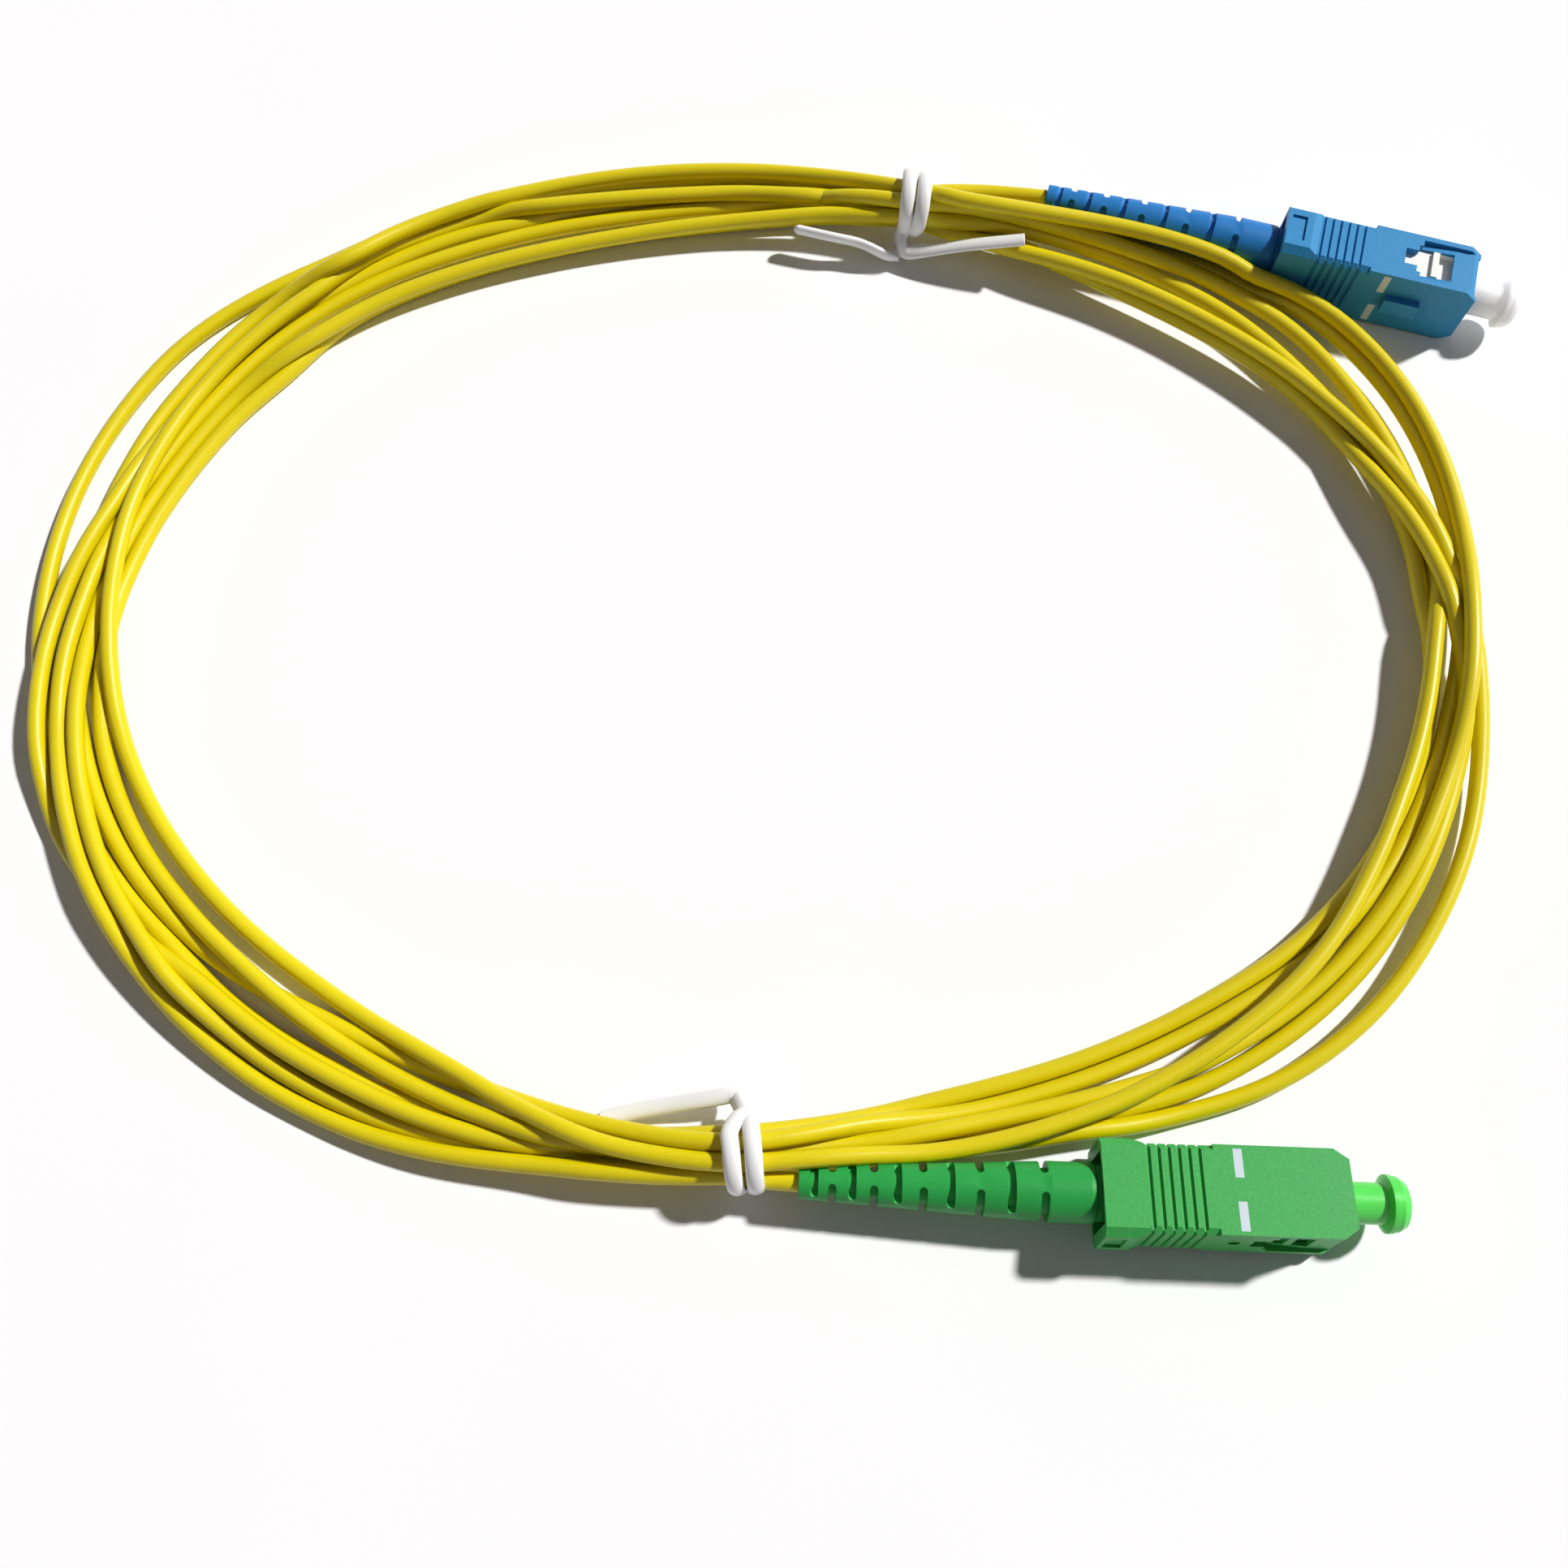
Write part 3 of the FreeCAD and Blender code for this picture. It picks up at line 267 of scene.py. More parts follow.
rows = []
for number, name in enumerate(ORDER):
    turn = LEFT_TURNS.get(name) or RIGHT_TURNS[name]
    rows += [(place + LAP * (number // 2), outward, height) for place, outward, height in turn]
rows = np.array(rows)
print(f"{len(rows)} places over {rows[-1, 0] - rows[0, 0]:.0f} mm")

# %% Both plugs, in the oval's own millimetres and degrees
PLUGS = {
    "blue": {"rear": (63.9, 72.1, 5.06), "yaw": -15.5, "pitch": 1.2, "roll": 90, "half": (3.9, 4.97)},
    "green": {"rear": (32.0, -46.4, 4.76), "yaw": -2.05, "pitch": 0, "roll": 171.2, "half": (5.5, 4.6)},
}
BOOT_LENGTH = 30.5
BOOT_RADII = (1.65, 3.05)
GRIP_LENGTH = 25.0
SLIDE = 1.5


def plug_axis(colour):
    """The middle of the grip's rear end and the way the plug points."""
    plug = PLUGS[colour]
    yaw, pitch = math.radians(plug["yaw"]), math.radians(plug["pitch"])
    forward = np.array([math.cos(yaw) * math.cos(pitch), math.sin(yaw) * math.cos(pitch), -math.sin(pitch)])
    return np.array(plug["rear"]), forward


def mouth(colour):
    """The point where the cord leaves the boot."""
    rear, forward = plug_axis(colour)
    return rear - forward * BOOT_LENGTH


def beside_oval(point):
    """A point's distance round the oval and how far outward of it the point lies."""
    number = np.argmin(np.linalg.norm(line - point[:2], axis=1))
    middle, outward = oval(travel[number:number + 1])
    return travel[number], float((point[:2] - middle[0]) @ outward[0])


for colour in PLUGS:
    place, outward = beside_oval(mouth(colour))
    print(f"the {colour} boot ends {place:.1f} mm round the oval, {outward:.1f} mm outward")

# %% [markdown]
# ## Letting the turns settle
#
# The lists only say about how high a turn lies. What the eye knows of a real coil is contact: turns touch,
# rest on each other and never pass through. So the whole cord is relaxed the way a pile of cord settles.
# At each of 128 places round the oval all the turns there are pushed apart to one diameter, sink a little,
# are kept off the table, boots and grips, and are drawn back to their heights and to where the photograph
# shows them, while the cord's own stiffness smooths it from place to place. It is a loop over plain
# arrays, so it gives the same coil each time.

# %% Shares and millimetres of each round of settling
ROUNDS = 900
FOLLOW_PHOTO = 0.3
FOLLOW_HEIGHT = 0.03
SINK = 0.01
STIFFNESS = 0.03
PARTINGS = 3
PARTING = 0.7
SPACING = CORD * 1.01
BUNDLE_RADIUS = CORD * 1.02
TIE_REACH = 3.0
OWN_STEPS = 3
print(ROUNDS, "rounds of settling")

# %% Every turn at every place round the oval
first = -round((LAP - beside_oval(mouth("blue"))[0]) / STEP)
final = 6 * PER_LAP + round(beside_oval(mouth("green"))[0] / STEP)
knots = np.arange(first, final + 1)
along = knots * STEP
middle, outward_way = oval(along)

camera_foot = np.array(CAMERA_FROM_MIDDLE[:2])
lean = ((middle - camera_foot) * outward_way).sum(1) / (CAMERA_FROM_MIDDLE[2] - SEEN_LEVEL)

lifted = np.interp(along % LAP, *np.transpose(LIFTS))
height = np.interp(along, rows[:, 0], rows[:, 2]) + lifted
seen = np.interp(along, rows[:, 0], rows[:, 1])
shift = seen - lean * (height - SEEN_LEVEL)
pinned = {}
for colour, index, step, held in (("blue", 0, 1, 1), ("green", len(knots) - 1, -1, 2)):
    for back in range(held):
        point = mouth(colour) - plug_axis(colour)[1] * back * STEP
        pinned[index + step * back] = (beside_oval(point)[1], point[2])

ring = knots % PER_LAP
pairs = [(a, b) for place in range(PER_LAP) for i, a in enumerate(np.flatnonzero(ring == place))
         for b in np.flatnonzero(ring == place)[i + 1:]]
pair_a, pair_b = np.array(pairs).T
tied = {}
for name, place in (("top", 0), ("bottom", BOTTOM)):
    away = np.abs((along - place + LAP / 2) % LAP - LAP / 2)
    tied[name] = (np.flatnonzero(away < TIE_REACH), BUNDLE[name])
state = np.stack([shift, height], 1)
not_own_end = {"blue": knots > first + OWN_STEPS, "green": knots < final - OWN_STEPS}
print(f"{len(knots)} places along the cord, {len(pairs)} pairs that may touch")


# %% Settle the coil
def part_turns(state):
    """Pushes turns apart that lie closer than the spacing."""
    gap = state[pair_a] - state[pair_b]
    distance = np.linalg.norm(gap, axis=1)
    short = np.clip(SPACING - distance, 0, None)
    push = gap / np.maximum(distance, 1e-6)[:, None] * short[:, None] / 2
    np.add.at(state, pair_a, push * PARTING)
    np.add.at(state, pair_b, -push * PARTING)


def hold(state):
    """Keeps the turns off the table, inside the ties and in the boots' mouths."""
    np.maximum(state[:, 1], CORD / 2 + lifted, out=state[:, 1])
    for members, centre in tied.values():
        away = state[members] - centre
        distance = np.linalg.norm(away, axis=1, keepdims=True)
        state[members] = centre + away * np.minimum(1, BUNDLE_RADIUS / np.maximum(distance, 1e-6))
    for index, place in pinned.items():
        state[index] = place


def keep_out(state):
    """Moves the turns out of both boots, which are cones, and both grips, which are boxes that slide back."""
    places = np.column_stack([middle + outward_way * state[:, :1], state[:, 1]])
    for colour, plug in PLUGS.items():
        rear, forward = plug_axis(colour)
        ahead = (places - rear) @ forward
        away = places - rear - ahead[:, None] * forward
        far = np.maximum(np.linalg.norm(away, axis=1), 0.1)
        room = np.interp(ahead, (-BOOT_LENGTH, 0), BOOT_RADII) + CORD / 2
        beside_boot = not_own_end[colour] & (ahead > -BOOT_LENGTH) & (ahead < 0)
        push = away * (np.clip(room - far, 0, None) / far * beside_boot)[:, None]
        across = np.array([-forward[1], forward[0], 0])
        sideways, upwards = away @ across, away[:, 2]
        over_side = plug["half"][0] + CORD / 2 - np.abs(sideways)
        over_top = plug["half"][1] + CORD / 2 - np.abs(upwards)
        in_grip = not_own_end[colour] & (ahead > -SLIDE - CORD / 2) & (ahead < GRIP_LENGTH + CORD / 2)
        in_grip = in_grip & (over_side > 0) & (over_top > 0)
        aside = np.sign(sideways) * over_side * in_grip * (over_side <= over_top)
        push += across * aside[:, None]
        push[:, 2] += np.sign(upwards) * over_top * in_grip * (over_top < over_side)
        state[:, 0] += (push[:, :2] * outward_way).sum(1)
        state[:, 1] += push[:, 2]


for settling in range(ROUNDS):
    state[:, 0] -= FOLLOW_PHOTO * (state[:, 0] + lean * (state[:, 1] - SEEN_LEVEL) - seen)
    state[:, 1] -= SINK + FOLLOW_HEIGHT * (state[:, 1] - height)
    bend = np.zeros_like(state)
    bend[2:-2] = state[:-4] - 4 * state[1:-3] + 6 * state[2:-2] - 4 * state[3:-1] + state[4:]
    state -= bend * STIFFNESS
    for parting in range(PARTINGS):
        part_turns(state)
        keep_out(state)
        hold(state)
gap = np.linalg.norm(state[pair_a] - state[pair_b], axis=1)
print(f"closest turns {gap.min():.2f} mm apart, highest {state[:, 1].max():.1f} mm")

# %% [markdown]
# ## The cord as one smooth curve
#
# The places along the cord become the points of one NURBS spline.

# %% The cord's curve
points = np.column_stack([middle + outward_way * state[:, :1], state[:, 1]])
points[0] = mouth("blue")
points[-1] = mouth("green")
cord_data = bpy.data.curves.new("cord", "CURVE")
cord_data.dimensions = "3D"
cord_data.bevel_depth = 1
cord_data.bevel_resolution = 3
cord_data.resolution_u = 2
spline = cord_data.splines.new("NURBS")
spline.points.add(len(points) - 1)
for point, place in zip(spline.points, points):
    point.co = (*(PICTURE_MIDDLE + Vector(place) * MM), 1)
    point.radius = CORD / 2 * MM
spline.order_u = 3
spline.use_endpoint_u = True
cord = bpy.data.objects.new("cord", cord_data)
bpy.context.scene.collection.objects.link(cord)
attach(cord, "cord")
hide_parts("coil")

# %% [markdown]
# ## The two ties
#
# Each tie is one length of white plastic strip with an oval section, wound twice round the bundle. Its
# route is written beside the tie: millimetres ahead along the cord, outward, and up, and then the way that
# the broad side faces. On the two wraps the broad side faces away from the bundle's middle.

# %% A strip of oval section along a route
STRIP = (1.85, 1.15)
AROUND = 16
WRAP_RADIUS = 3.65
WRAP_STEP = 15
END_STEPS = [(0.6, 0.8), (1, 0.45)]


def wraps(centre, angles, aheads):
    """Rows for turns round a bundle; 0 degrees is its inner side, 90 its top and 180 its outer side."""
    made = []
    for degrees in range(angles[0], angles[-1] + 1, WRAP_STEP):
        turn = math.radians(degrees)
        facing = (-math.cos(turn), math.sin(turn))
        made.append((np.interp(degrees, angles, aheads), centre[0] + WRAP_RADIUS * facing[0],
                     centre[1] + WRAP_RADIUS * facing[1], 0, *facing))
    return made


def rounded(rows, times=3):
    """Cuts the corners off a list of rows again and again, which leaves a smooth route."""
    rows = np.array(rows, dtype=float)
    for time in range(times):
        near, far = rows[:-1] * 0.75 + rows[1:] * 0.25, rows[:-1] * 0.25 + rows[1:] * 0.75
        rows = np.vstack([rows[:1], np.stack([near, far], 1).reshape(-1, rows.shape[1]), rows[-1:]])
    return rows


def strip(name, tie_place, rows, ends):
    """A closed mesh of oval section along the rows; ends says how far each rounded end reaches, in mm."""
    rows = rounded(rows)
    tie_middle, tie_outward = (part[0] for part in oval(np.array([tie_place])))
    ahead = np.array([-tie_outward[1], tie_outward[0], 0])
    axes = np.array([ahead, [*tie_outward, 0], [0, 0, 1]])
    places = rows[:, :3] @ axes + np.array([*tie_middle, 0])
    facings = rows[:, 3:] @ axes
    forward = np.gradient(places, axis=0)
    forward /= np.linalg.norm(forward, axis=1, keepdims=True)
    side = np.cross(forward, facings)
    side /= np.linalg.norm(side, axis=1, keepdims=True)
    facings = np.cross(side, forward)
    turn = np.linspace(0, 2 * math.pi, AROUND, endpoint=False)[:, None]

    steps = [(0, -ends[0] * share, size) for share, size in reversed(END_STEPS)]
    steps += [(row, 0, 1) for row in range(len(rows))]
    steps += [(-1, ends[1] * share, size) for share, size in END_STEPS]
    mesh = bmesh.new()
    rings = []
    for row, beyond, size in steps:
        middle_point = places[row] + forward[row] * beyond
        section = STRIP[0] * np.cos(turn) * side[row] + STRIP[1] * np.sin(turn) * facings[row]
        around = middle_point + size / 2 * section
        rings.append([mesh.verts.new(PICTURE_MIDDLE + Vector(place) * MM) for place in around])
    for one, two in zip(rings, rings[1:]):
        for corner in range(AROUND):
            mesh.faces.new((one[corner - 1], one[corner], two[corner], two[corner - 1]))
    mesh.faces.new(rings[0])
    mesh.faces.new(rings[-1][::-1])
    bmesh.ops.recalc_face_normals(mesh, faces=mesh.faces)
    for face in mesh.faces:
        face.smooth = True
    data = bpy.data.meshes.new(name)
    mesh.to_mesh(data)
    mesh.free()
    made = bpy.data.objects.new(name, data)
    bpy.context.scene.collection.objects.link(made)
    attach(made, "cord")
    print(f"{name}: {len(data.vertices)} corners")
    return made


# %% Wind both ties
top_rows = [
    (-14.99, -2.4, 6.0, 0.2, 0, 1), (-11.29, -3.2, 5.2, 0.2, 0, 1), (-7.65, -3.9, 4.3, 0.2, 0, 1),
    (-4.8, -4.5, 3.4, 0.2, 0, 1), (-2.2, -5.0, 2.6, 0.2, -0.2, 1), (-0.6, -5.3, 2.1, 0.1, -0.5, 0.9),
    (0.4, -5.2, 2.2, 0.4, -0.9, 0.4), (0.9, -4.6, 2.9, 0.5, -0.8, 0.3), (1.0, -4.0, 3.5, 0.3, -0.9, 0.3),
    (0.8, -3.5, 4.0, 0, -1, 0.2),
    *wraps(BUNDLE["top"], (15, 60, 150, 180, 270, 320, 360, 400, 430, 510, 540, 600, 675),
           (0.67, 0.96, 1.88, 2.0, 1.3, 0, -1.11, -1.24, -1.0, -0.25, 0, 0.6, 0.9)),
    (1.2, -3.4, 1.7, 0, -0.3, -1), (1.2, -4.6, 1.4, 0.3, -0.5, -0.8), (1.2, -5.6, 1.2, 0.6, -0.8, -0.2),
    (1.8, -6.2, 1.5, 0.3, -1, 0), (4.07, -6.38, 2.6, 0, -0.96, -0.25), (6.42, -6.2, 3.0, 0, -0.94, -0.35),
    (8.91, -6.75, 3.5, 0, -0.94, -0.35), (12.14, -6.86, 3.6, 0, -0.94, -0.35),
    (14.2, -6.88, 3.6, 0, -0.94, -0.35),
]
bottom_rows = [
    (-15.0, -4.2, 0.8, 0, 0, 1), (-11.58, -4.77, 1.2, 0, 0, 1), (-7.71, -5.12, 1.8, 0, 0, 1),
    (-3.86, -5.37, 2.6, 0, 0, 1), (-1.6, -5.6, 2.95, 0, 0, 1), (-0.7, -5.65, 3.1, -0.2, -0.5, 0.9),
    (-0.45, -5.2, 3.3, -0.8, -0.4, 0.5), (-0.14, -4.29, 4.2, -0.8, -0.4, 0.4),
    (0.2, -3.5, 5.3, -0.5, -0.6, 0.6), (-0.2, -3.1, 6.3, -0.2, -0.7, 0.7),
    *wraps(BUNDLE["bottom"], (45, 60, 90, 130, 170, 270, 330, 360, 400, 450, 530, 630, 690),
           (-0.9, -1.25, -1.1, -1.0, -0.83, 0.1, 0.7, 0.9, 0.96, 1.15, 1.23, 0.8, 0.3)),
    (0.2, -3.6, 3.0, 0, -1, 0), (0.1, -4.5, 3.2, 0, -0.5, -0.8),
]
top_tie = strip("top_tie_strip", 0, top_rows, (0.05, 0.6))
bottom_tie = strip("bottom_tie_strip", BOTTOM, bottom_rows, (0.05, 0.2))
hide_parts("top_tie")
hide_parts("bottom_tie")

# %% [markdown]
# ## A skin that stands in for shade in the boots' slots
#
# A tapered skin of the boot's rubber sits inside each boot, just under its slots. It hides the cord there, so
# the
# slots show shaded rubber: the skin stands in for the shade inside the slots. It is seen only through the
# slots.

# %% Skin standing in for the slots' shade, inside each boot
# Millimetres ahead of the grip's rear and radius of the skin that stands in for the shade in the slots
SLOT_SHADE_SKIN = [(-30.3, 1.2), (-22, 1.4), (-14, 2.0), (-5, 2.35)]
SLOT_SHADE_SKIN_AROUND = 48
slot_shade_skins = {}
for colour in PLUGS:
    rear, forward = plug_axis(colour)
    aside = np.cross(forward, (0, 0, 1))
    aside /= np.linalg.norm(aside)
    upward = np.cross(aside, forward)
    skin = bmesh.new()
    circle = np.linspace(0, 2 * math.pi, SLOT_SHADE_SKIN_AROUND, endpoint=False)[:, None]
    rings = []
    for ahead, radius in SLOT_SHADE_SKIN:
        places = rear + forward * ahead + radius * (np.cos(circle) * aside + np.sin(circle) * upward)
        rings.append([skin.verts.new(PICTURE_MIDDLE + Vector(place) * MM) for place in places])
    for one, two in zip(rings, rings[1:]):
        for corner in range(SLOT_SHADE_SKIN_AROUND):
            skin.faces.new((one[corner - 1], one[corner], two[corner], two[corner - 1])).smooth = True
    bmesh.ops.recalc_face_normals(skin, faces=skin.faces)
    skin_data = bpy.data.meshes.new(f"{colour}_boot_slot_shade_skin")
    skin.to_mesh(skin_data)
    skin.free()
    slot_shade_skins[colour] = bpy.data.objects.new(f"{colour}_boot_slot_shade_skin", skin_data)
    bpy.context.scene.collection.objects.link(slot_shade_skins[colour])
    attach(slot_shade_skins[colour], "cord")
print("slot_shade_skins", [web.name for web in slot_shade_skins.values()])

# %% [markdown]
# ## Finishes
#
# Every finish is one standard shader fed by a few numbers and some noise. To write the noise as sums, a
# shader socket is wrapped in a small class that knows plus, minus, times and divided by.

# %% Sums of shader sockets
class Wire:
    """One output socket of a finish, which can be reckoned with like a number."""

    def __init__(self, finish, socket):
        self.finish, self.socket = finish, socket

    def reckon(self, operation, left, right):
        kind = "ShaderNodeVectorMath" if self.socket.type == "VECTOR" else "ShaderNodeMath"
        return self.finish.node(kind, {"operation": operation}, {0: left, 1: right})

    def __add__(self, other):
        return self.reckon("ADD", self, other)

    def __radd__(self, other):
        return self.reckon("ADD", other, self)

    def __sub__(self, other):
        return self.reckon("SUBTRACT", self, other)

    def __rsub__(self, other):
        return self.reckon("SUBTRACT", other, self)

    def __mul__(self, other):
        return self.reckon("MULTIPLY", self, other)

    def __rmul__(self, other):
        return self.reckon("MULTIPLY", other, self)

    def __truediv__(self, other):
        return self.reckon("DIVIDE", self, other)

    def __rtruediv__(self, other):
        return self.reckon("DIVIDE", other, self)

    def __abs__(self):
        return self.reckon("ABSOLUTE", self, 0.0)

    def __gt__(self, other):
        return self.reckon("GREATER_THAN", self, other)

    def __lt__(self, other):
        return self.reckon("LESS_THAN", self, other)


class Finish:
    """A procedural material round one standard shader."""

    def __init__(self, name, **constants):
        self.material = bpy.data.materials.new(name)
        self.material.use_nodes = True
        self.tree = self.material.node_tree
        self.shader = self.tree.nodes["Principled BSDF"]
        for label, value in constants.items():
            self.feed(label.replace("_", " ").title().replace("Ior", "IOR"), value)

    def node(self, kind, settings, sockets, output=0):
        """Adds any node with its settings and its sockets' values or wires, and returns one output."""
        made = self.tree.nodes.new(kind)
        for label, value in settings.items():
            setattr(made, label, value)
        for label, value in sockets.items():
            self.connect(made.inputs[label], value)
        return Wire(self, made.outputs[output])

    def connect(self, socket, value):
        if isinstance(value, Wire):
            self.tree.links.new(value.socket, socket)
        elif socket.type == "RGBA":
            socket.default_value = (*value, 1)
        else:
            socket.default_value = value

    def feed(self, label, value):
        self.connect(self.shader.inputs[label], value)

    def mix(self, share, one, two):
        """The first colour where share is 0, the second where it is 1."""
        return self.node("ShaderNodeMix", {"data_type": "RGBA"}, {0: share, 6: one, 7: two}, 2)

    def place(self):
        return self.node("ShaderNodeTexCoord", {}, {}, "Object")

    def noise(self, grain_mm, detail=2.0, where=None):
        """Noise from 0 to 1 with spots about grain_mm across."""
        return self.node("ShaderNodeTexNoise", {}, {
            "Vector": where or self.place(), "Scale": 1 / (grain_mm * MM), "Detail": detail})

    def rough(self, height, depth_mm):
        """Turns a height from 0 to 1 into fine relief."""
        self.feed("Normal", self.node("ShaderNodeBump", {}, {
            "Height": height, "Distance": depth_mm * MM, "Strength": 1.0}))


def shade(colour, share):
    return tuple(part * share for part in colour)


def plain(name, colour, roughness, grain_mm=0.25, depth_mm=0.006, uneven=0.05, spots_mm=3.0, **constants):
    """A moulded or drawn surface: its colour varies a little and fine grain breaks up the shine."""
    finish = Finish(name, **constants)
    spots = finish.noise(spots_mm)
    finish.feed("Base Color", finish.mix(spots, shade(colour, 1 - uneven), shade(colour, 1 + uneven)))
    grain = finish.noise(grain_mm, 3.0)
    finish.feed("Roughness", grain * 0.1 + (roughness - 0.05))
    finish.rough(grain, depth_mm)
    return finish


# %% The finish of each slot
WHITE = (0.86, 0.86, 0.84)
SOFT_SHINE = {"specular_ior_level": 0.2}
finishes = {
    "jacket": plain("jacket", (0.69, 0.575, 0.001), 0.36, 0.12, 0.003, 0.03, specular_ior_level=0.3,
                    subsurface_weight=0.4, subsurface_radius=(1, 0.5, 0.05), subsurface_scale=0.0008),
    "tie_plastic": plain("tie plastic", WHITE, 0.25, 0.8, 0.004, 0.02),
    "white_plastic": plain("white plastic", (0.85, 0.85, 0.80), 0.35),
    "cap_plastic": plain("milky cap", (0.95, 0.97, 0.98), 0.28, 0.5, 0.004, 0.02, subsurface_weight=1.0,
                         subsurface_radius=(1, 1, 1), subsurface_scale=0.003),
    "green_cap_plastic": plain("green cap", (0.09, 0.70, 0.09), 0.3, 0.5, 0.004, 0.03, subsurface_weight=0.2,
                               subsurface_radius=(0.3, 1, 0.3), subsurface_scale=0.001),
    "blue_rubber": plain("blue boot", (0.018, 0.185, 0.50), 0.45, 0.2, 0.005, **SOFT_SHINE),
    "green_rubber": plain("green boot", (0.022, 0.33, 0.06), 0.42, 0.2, 0.005, **SOFT_SHINE),
    "ceramic": plain("ceramic", (0.84, 0.84, 0.82), 0.12, 0.3, 0.001, 0.01, coat_weight=0.3),
    "buffer": plain("buffer", WHITE, 0.4, 0.3, 0.003, 0.02),
}
METALS = {
    "plated_brass": ((0.62, 0.61, 0.58), 0.28),
    "spring_steel": ((0.50, 0.50, 0.51), 0.3),
    "crimp_metal": ((0.66, 0.66, 0.67), 0.36),
}
for name, (colour, roughness) in METALS.items():
    finishes[name] = plain(name.replace("_", " "), colour, roughness, 0.15, 0.003, 0.06, metallic=1.0)
yarn = Finish("aramid yarn", roughness=0.7)
stretched = yarn.node("ShaderNodeMapping", {"vector_type": "TEXTURE"}, {
    "Vector": yarn.place(), "Scale": (8.0, 1.0, 1.0)})
streaks = yarn.noise(0.08, 2.0, stretched)
yarn.feed("Base Color", yarn.mix(streaks, (0.45, 0.30, 0.06), (0.80, 0.62, 0.20)))
yarn.rough(streaks, 0.02)
finishes["aramid"] = yarn
print(len(finishes), "finishes")

# %% [markdown]
# ## Grips with printed marks
#
# Both grips carry two short white bars on each broad face, beside the key. The bars are reckoned from the
# plug's own millimetres: the coordinates are turned back by the plug's place and angles first.

# %% Grip finishes
BAR_ALONG = (13.3, 14.2)
BAR_ACROSS = (1.2, 4.1)
BAR_LEVEL = 3.2
BAR_COLOUR = (0.58, 0.66, 0.71)


def grip_finish(colour_name, colour):
    # The fine spots, 0.22 mm across and up to 30 % lighter or darker, are random tone of the plastic and also
    # painted glints of its grainy surface
    finish = plain(f"{colour_name} grip", colour, 0.45, 0.14, 0.015, 0.3, 0.22, **SOFT_SHINE)
    plug = PLUGS[colour_name]
    own = finish.node("ShaderNodeMapping", {"vector_type": "TEXTURE"}, {
        "Vector": finish.place(), "Location": PICTURE_MIDDLE + Vector(plug["rear"]) * MM,
        "Rotation": [math.radians(plug[angle]) for angle in ("roll", "pitch", "yaw")], "Scale": (MM, MM, MM)})
    along, across, thick = (finish.node("ShaderNodeSeparateXYZ", {}, {"Vector": own}, axis) for axis in "XYZ")
    bars = (along > BAR_ALONG[0]) * (along < BAR_ALONG[1]) * (abs(across) > BAR_ACROSS[0])
    bars = bars * (abs(across) < BAR_ACROSS[1]) * (abs(thick) > BAR_LEVEL)
    base = finish.shader.inputs["Base Color"].links[0].from_socket
    finish.feed("Base Color", finish.mix(bars, Wire(finish, base), BAR_COLOUR))
    return finish


finishes["blue_plastic"] = grip_finish("blue", (0.030, 0.25, 0.52))
finishes["green_plastic"] = grip_finish("green", (0.045, 0.37, 0.075))


# %% Put the finishes on
def dress(piece, finish):
    if piece.data.materials:
        piece.data.materials[0] = finish.material
    else:
        piece.data.materials.append(finish.material)


BOTH_PLUGS = {
    "cord_end": "jacket", "crimp_sleeve": "crimp_metal", "aramid_yarn": "aramid", "rear_body": "plated_brass",
    "spring": "spring_steel", "ferrule_flange": "plated_brass", "ferrule": "ceramic",
    "buffered_fibre": "buffer",
}
ONE_PLUG = {
    "blue": {"grip": "blue_plastic", "boot": "blue_rubber", "dust_cap": "cap_plastic",
             "plug_frame": "white_plastic"},
    "green": {"grip": "green_plastic", "boot": "green_rubber", "dust_cap": "green_cap_plastic",
              "plug_frame": "green_plastic"},
}
for colour_name in PLUGS:
    for piece, slot_name in {**BOTH_PLUGS, **ONE_PLUG[colour_name]}.items():
        dress(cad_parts[f"{colour_name}_{piece}"], finishes[slot_name])
    # The skins under the boots' slots take the boot's rubber and stand in for the shade inside the slots
    dress(slot_shade_skins[colour_name], finishes[f"{colour_name}_rubber"])
dress(cord, finishes["jacket"])
dress(top_tie, finishes["tie_plastic"])
dress(bottom_tie, finishes["tie_plastic"])

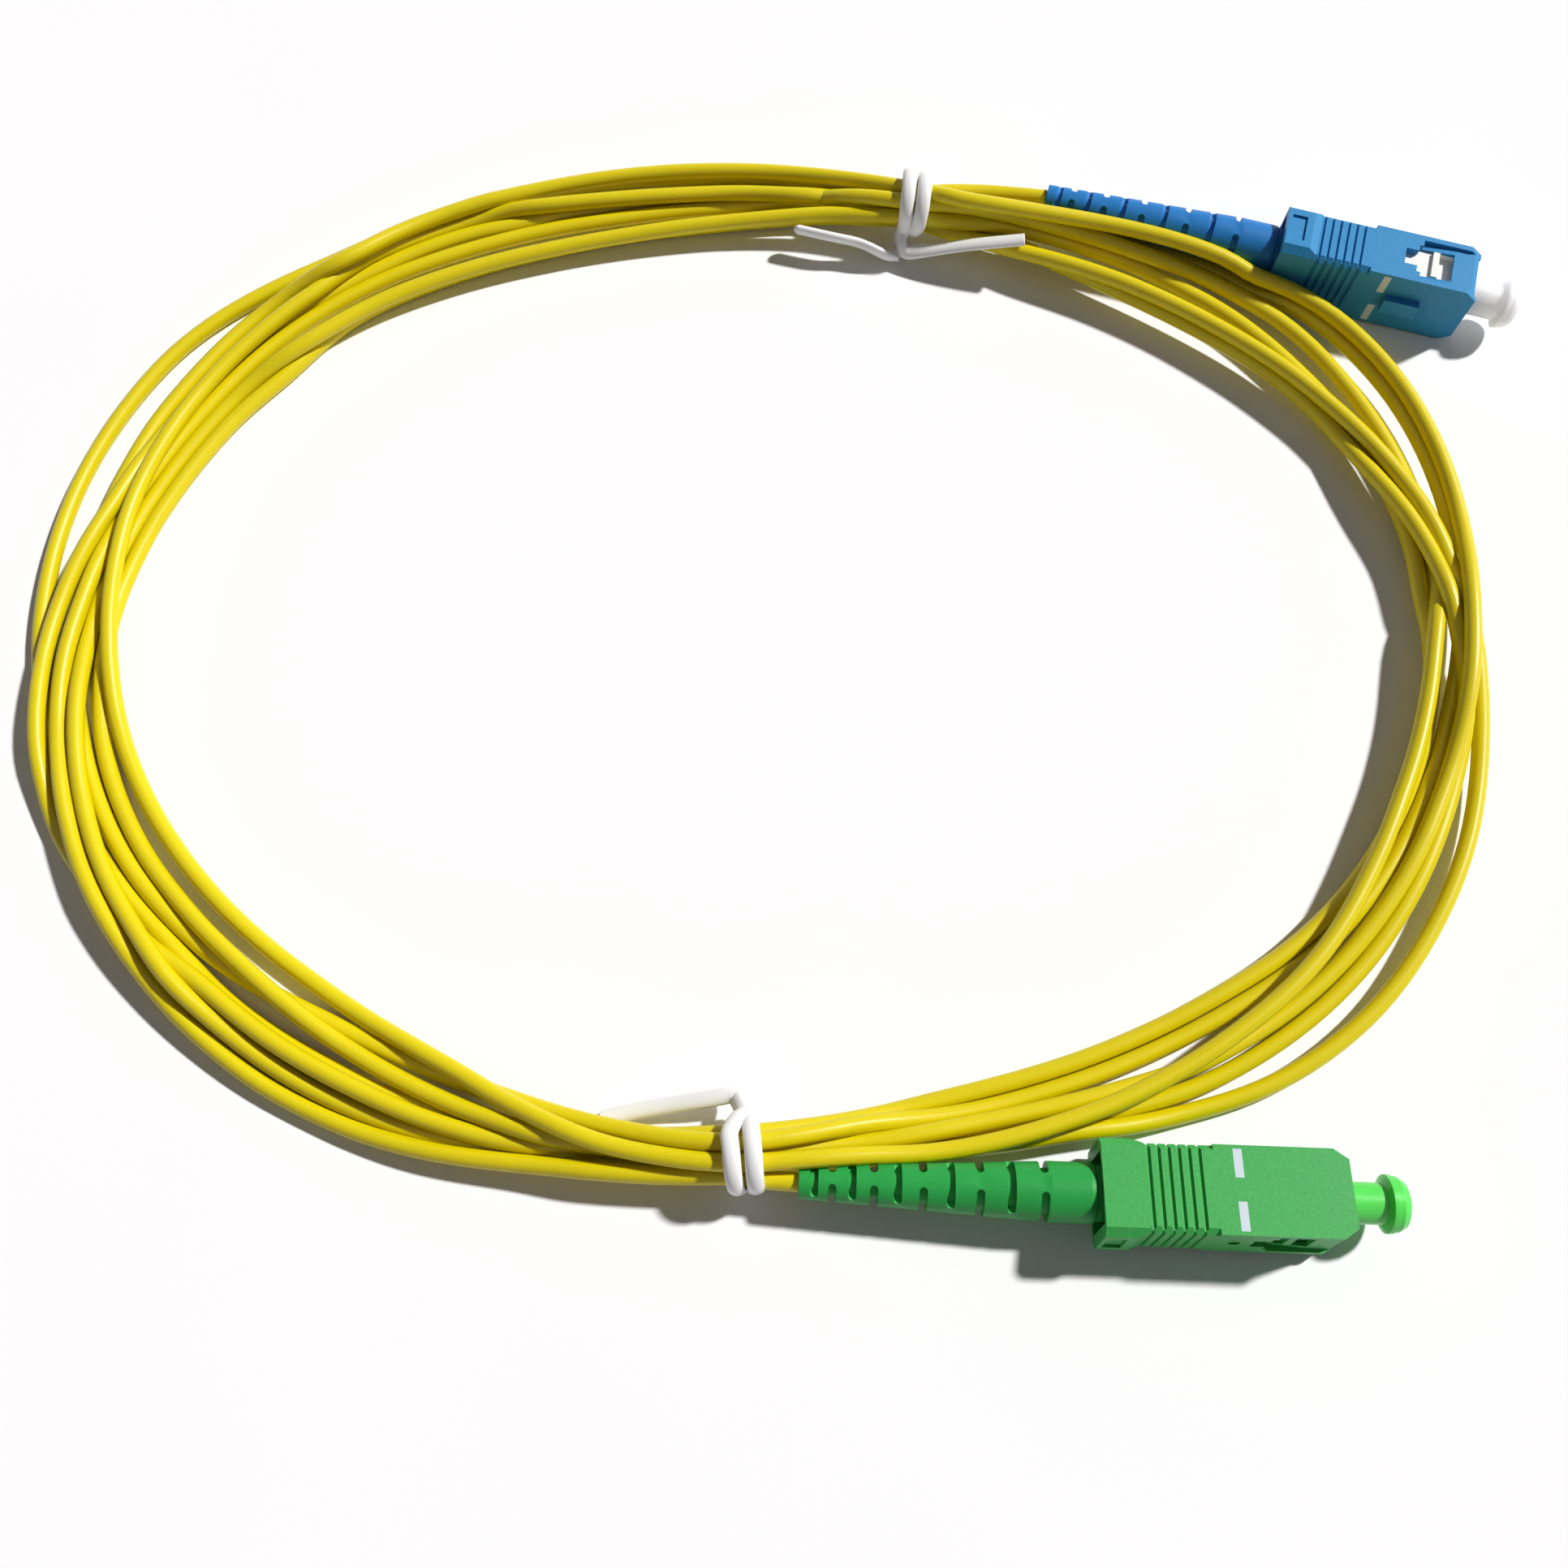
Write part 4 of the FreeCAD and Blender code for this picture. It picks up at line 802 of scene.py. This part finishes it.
# %% [markdown]
# ## Table and light
#
# The photograph has one strong light from the right and a little behind, about 45 degrees up, over a white
# table. Here a sun stands there and a pale sky fills the shadows, and together they bring the table to
# white. Only the camera, mirrors and glass see the sky at its full brightness.

# %% Floor, sun and sky
LIGHT_FROM = Vector((0.89, 0.46, 1.0))
SUN_STRENGTH = 4.2
SUN_DEGREES = 4
SUN_COLOUR = (1, 0.99, 0.98)
SKY_STRENGTH = 0.11
SKY_COLOUR = (0.95, 0.9, 1, 1)
FLOOR_SIZE = 2
floor = bmesh.new()
bmesh.ops.create_grid(floor, x_segments=1, y_segments=1, size=FLOOR_SIZE)
floor_data = bpy.data.meshes.new("floor")
floor.to_mesh(floor_data)
floor.free()
floor_object = bpy.data.objects.new("floor", floor_data)
bpy.context.scene.collection.objects.link(floor_object)
paper = Finish("paper", roughness=0.9)
paper.feed("Base Color", paper.mix(paper.noise(40.0), (0.93, 0.93, 0.935), (0.95, 0.95, 0.95)))
dress(floor_object, paper)

sun_data = bpy.data.lights.new("sun", "SUN")
sun_data.energy = SUN_STRENGTH
sun_data.angle = math.radians(SUN_DEGREES)
sun_data.color = SUN_COLOUR
sun = bpy.data.objects.new("sun", sun_data)
sun.rotation_euler = LIGHT_FROM.to_track_quat("Z", "Y").to_euler()
sun.location = LIGHT_FROM
bpy.context.scene.collection.objects.link(sun)

world = bpy.data.worlds.new("world")
world.use_nodes = True
sky = world.node_tree
path_kind = sky.nodes.new("ShaderNodeLightPath")
strength = None
for seen_by in ("Is Camera Ray", "Is Glossy Ray", "Is Transmission Ray"):
    step = sky.nodes.new("ShaderNodeMath")
    step.operation = "MAXIMUM"
    sky.links.new(path_kind.outputs[seen_by], step.inputs[0])
    step.inputs[1].default_value = SKY_STRENGTH
    if strength:
        sky.links.new(strength, step.inputs[1])
    strength = step.outputs[0]
sky.links.new(strength, sky.nodes["Background"].inputs["Strength"])
sky.nodes["Background"].inputs["Color"].default_value = SKY_COLOUR
bpy.context.scene.world = world
bpy.context.scene.view_settings.view_transform = "Standard"
print("light from", tuple(round(part, 2) for part in LIGHT_FROM.normalized()))

# %% Update the scene
bpy.context.view_layer.update()
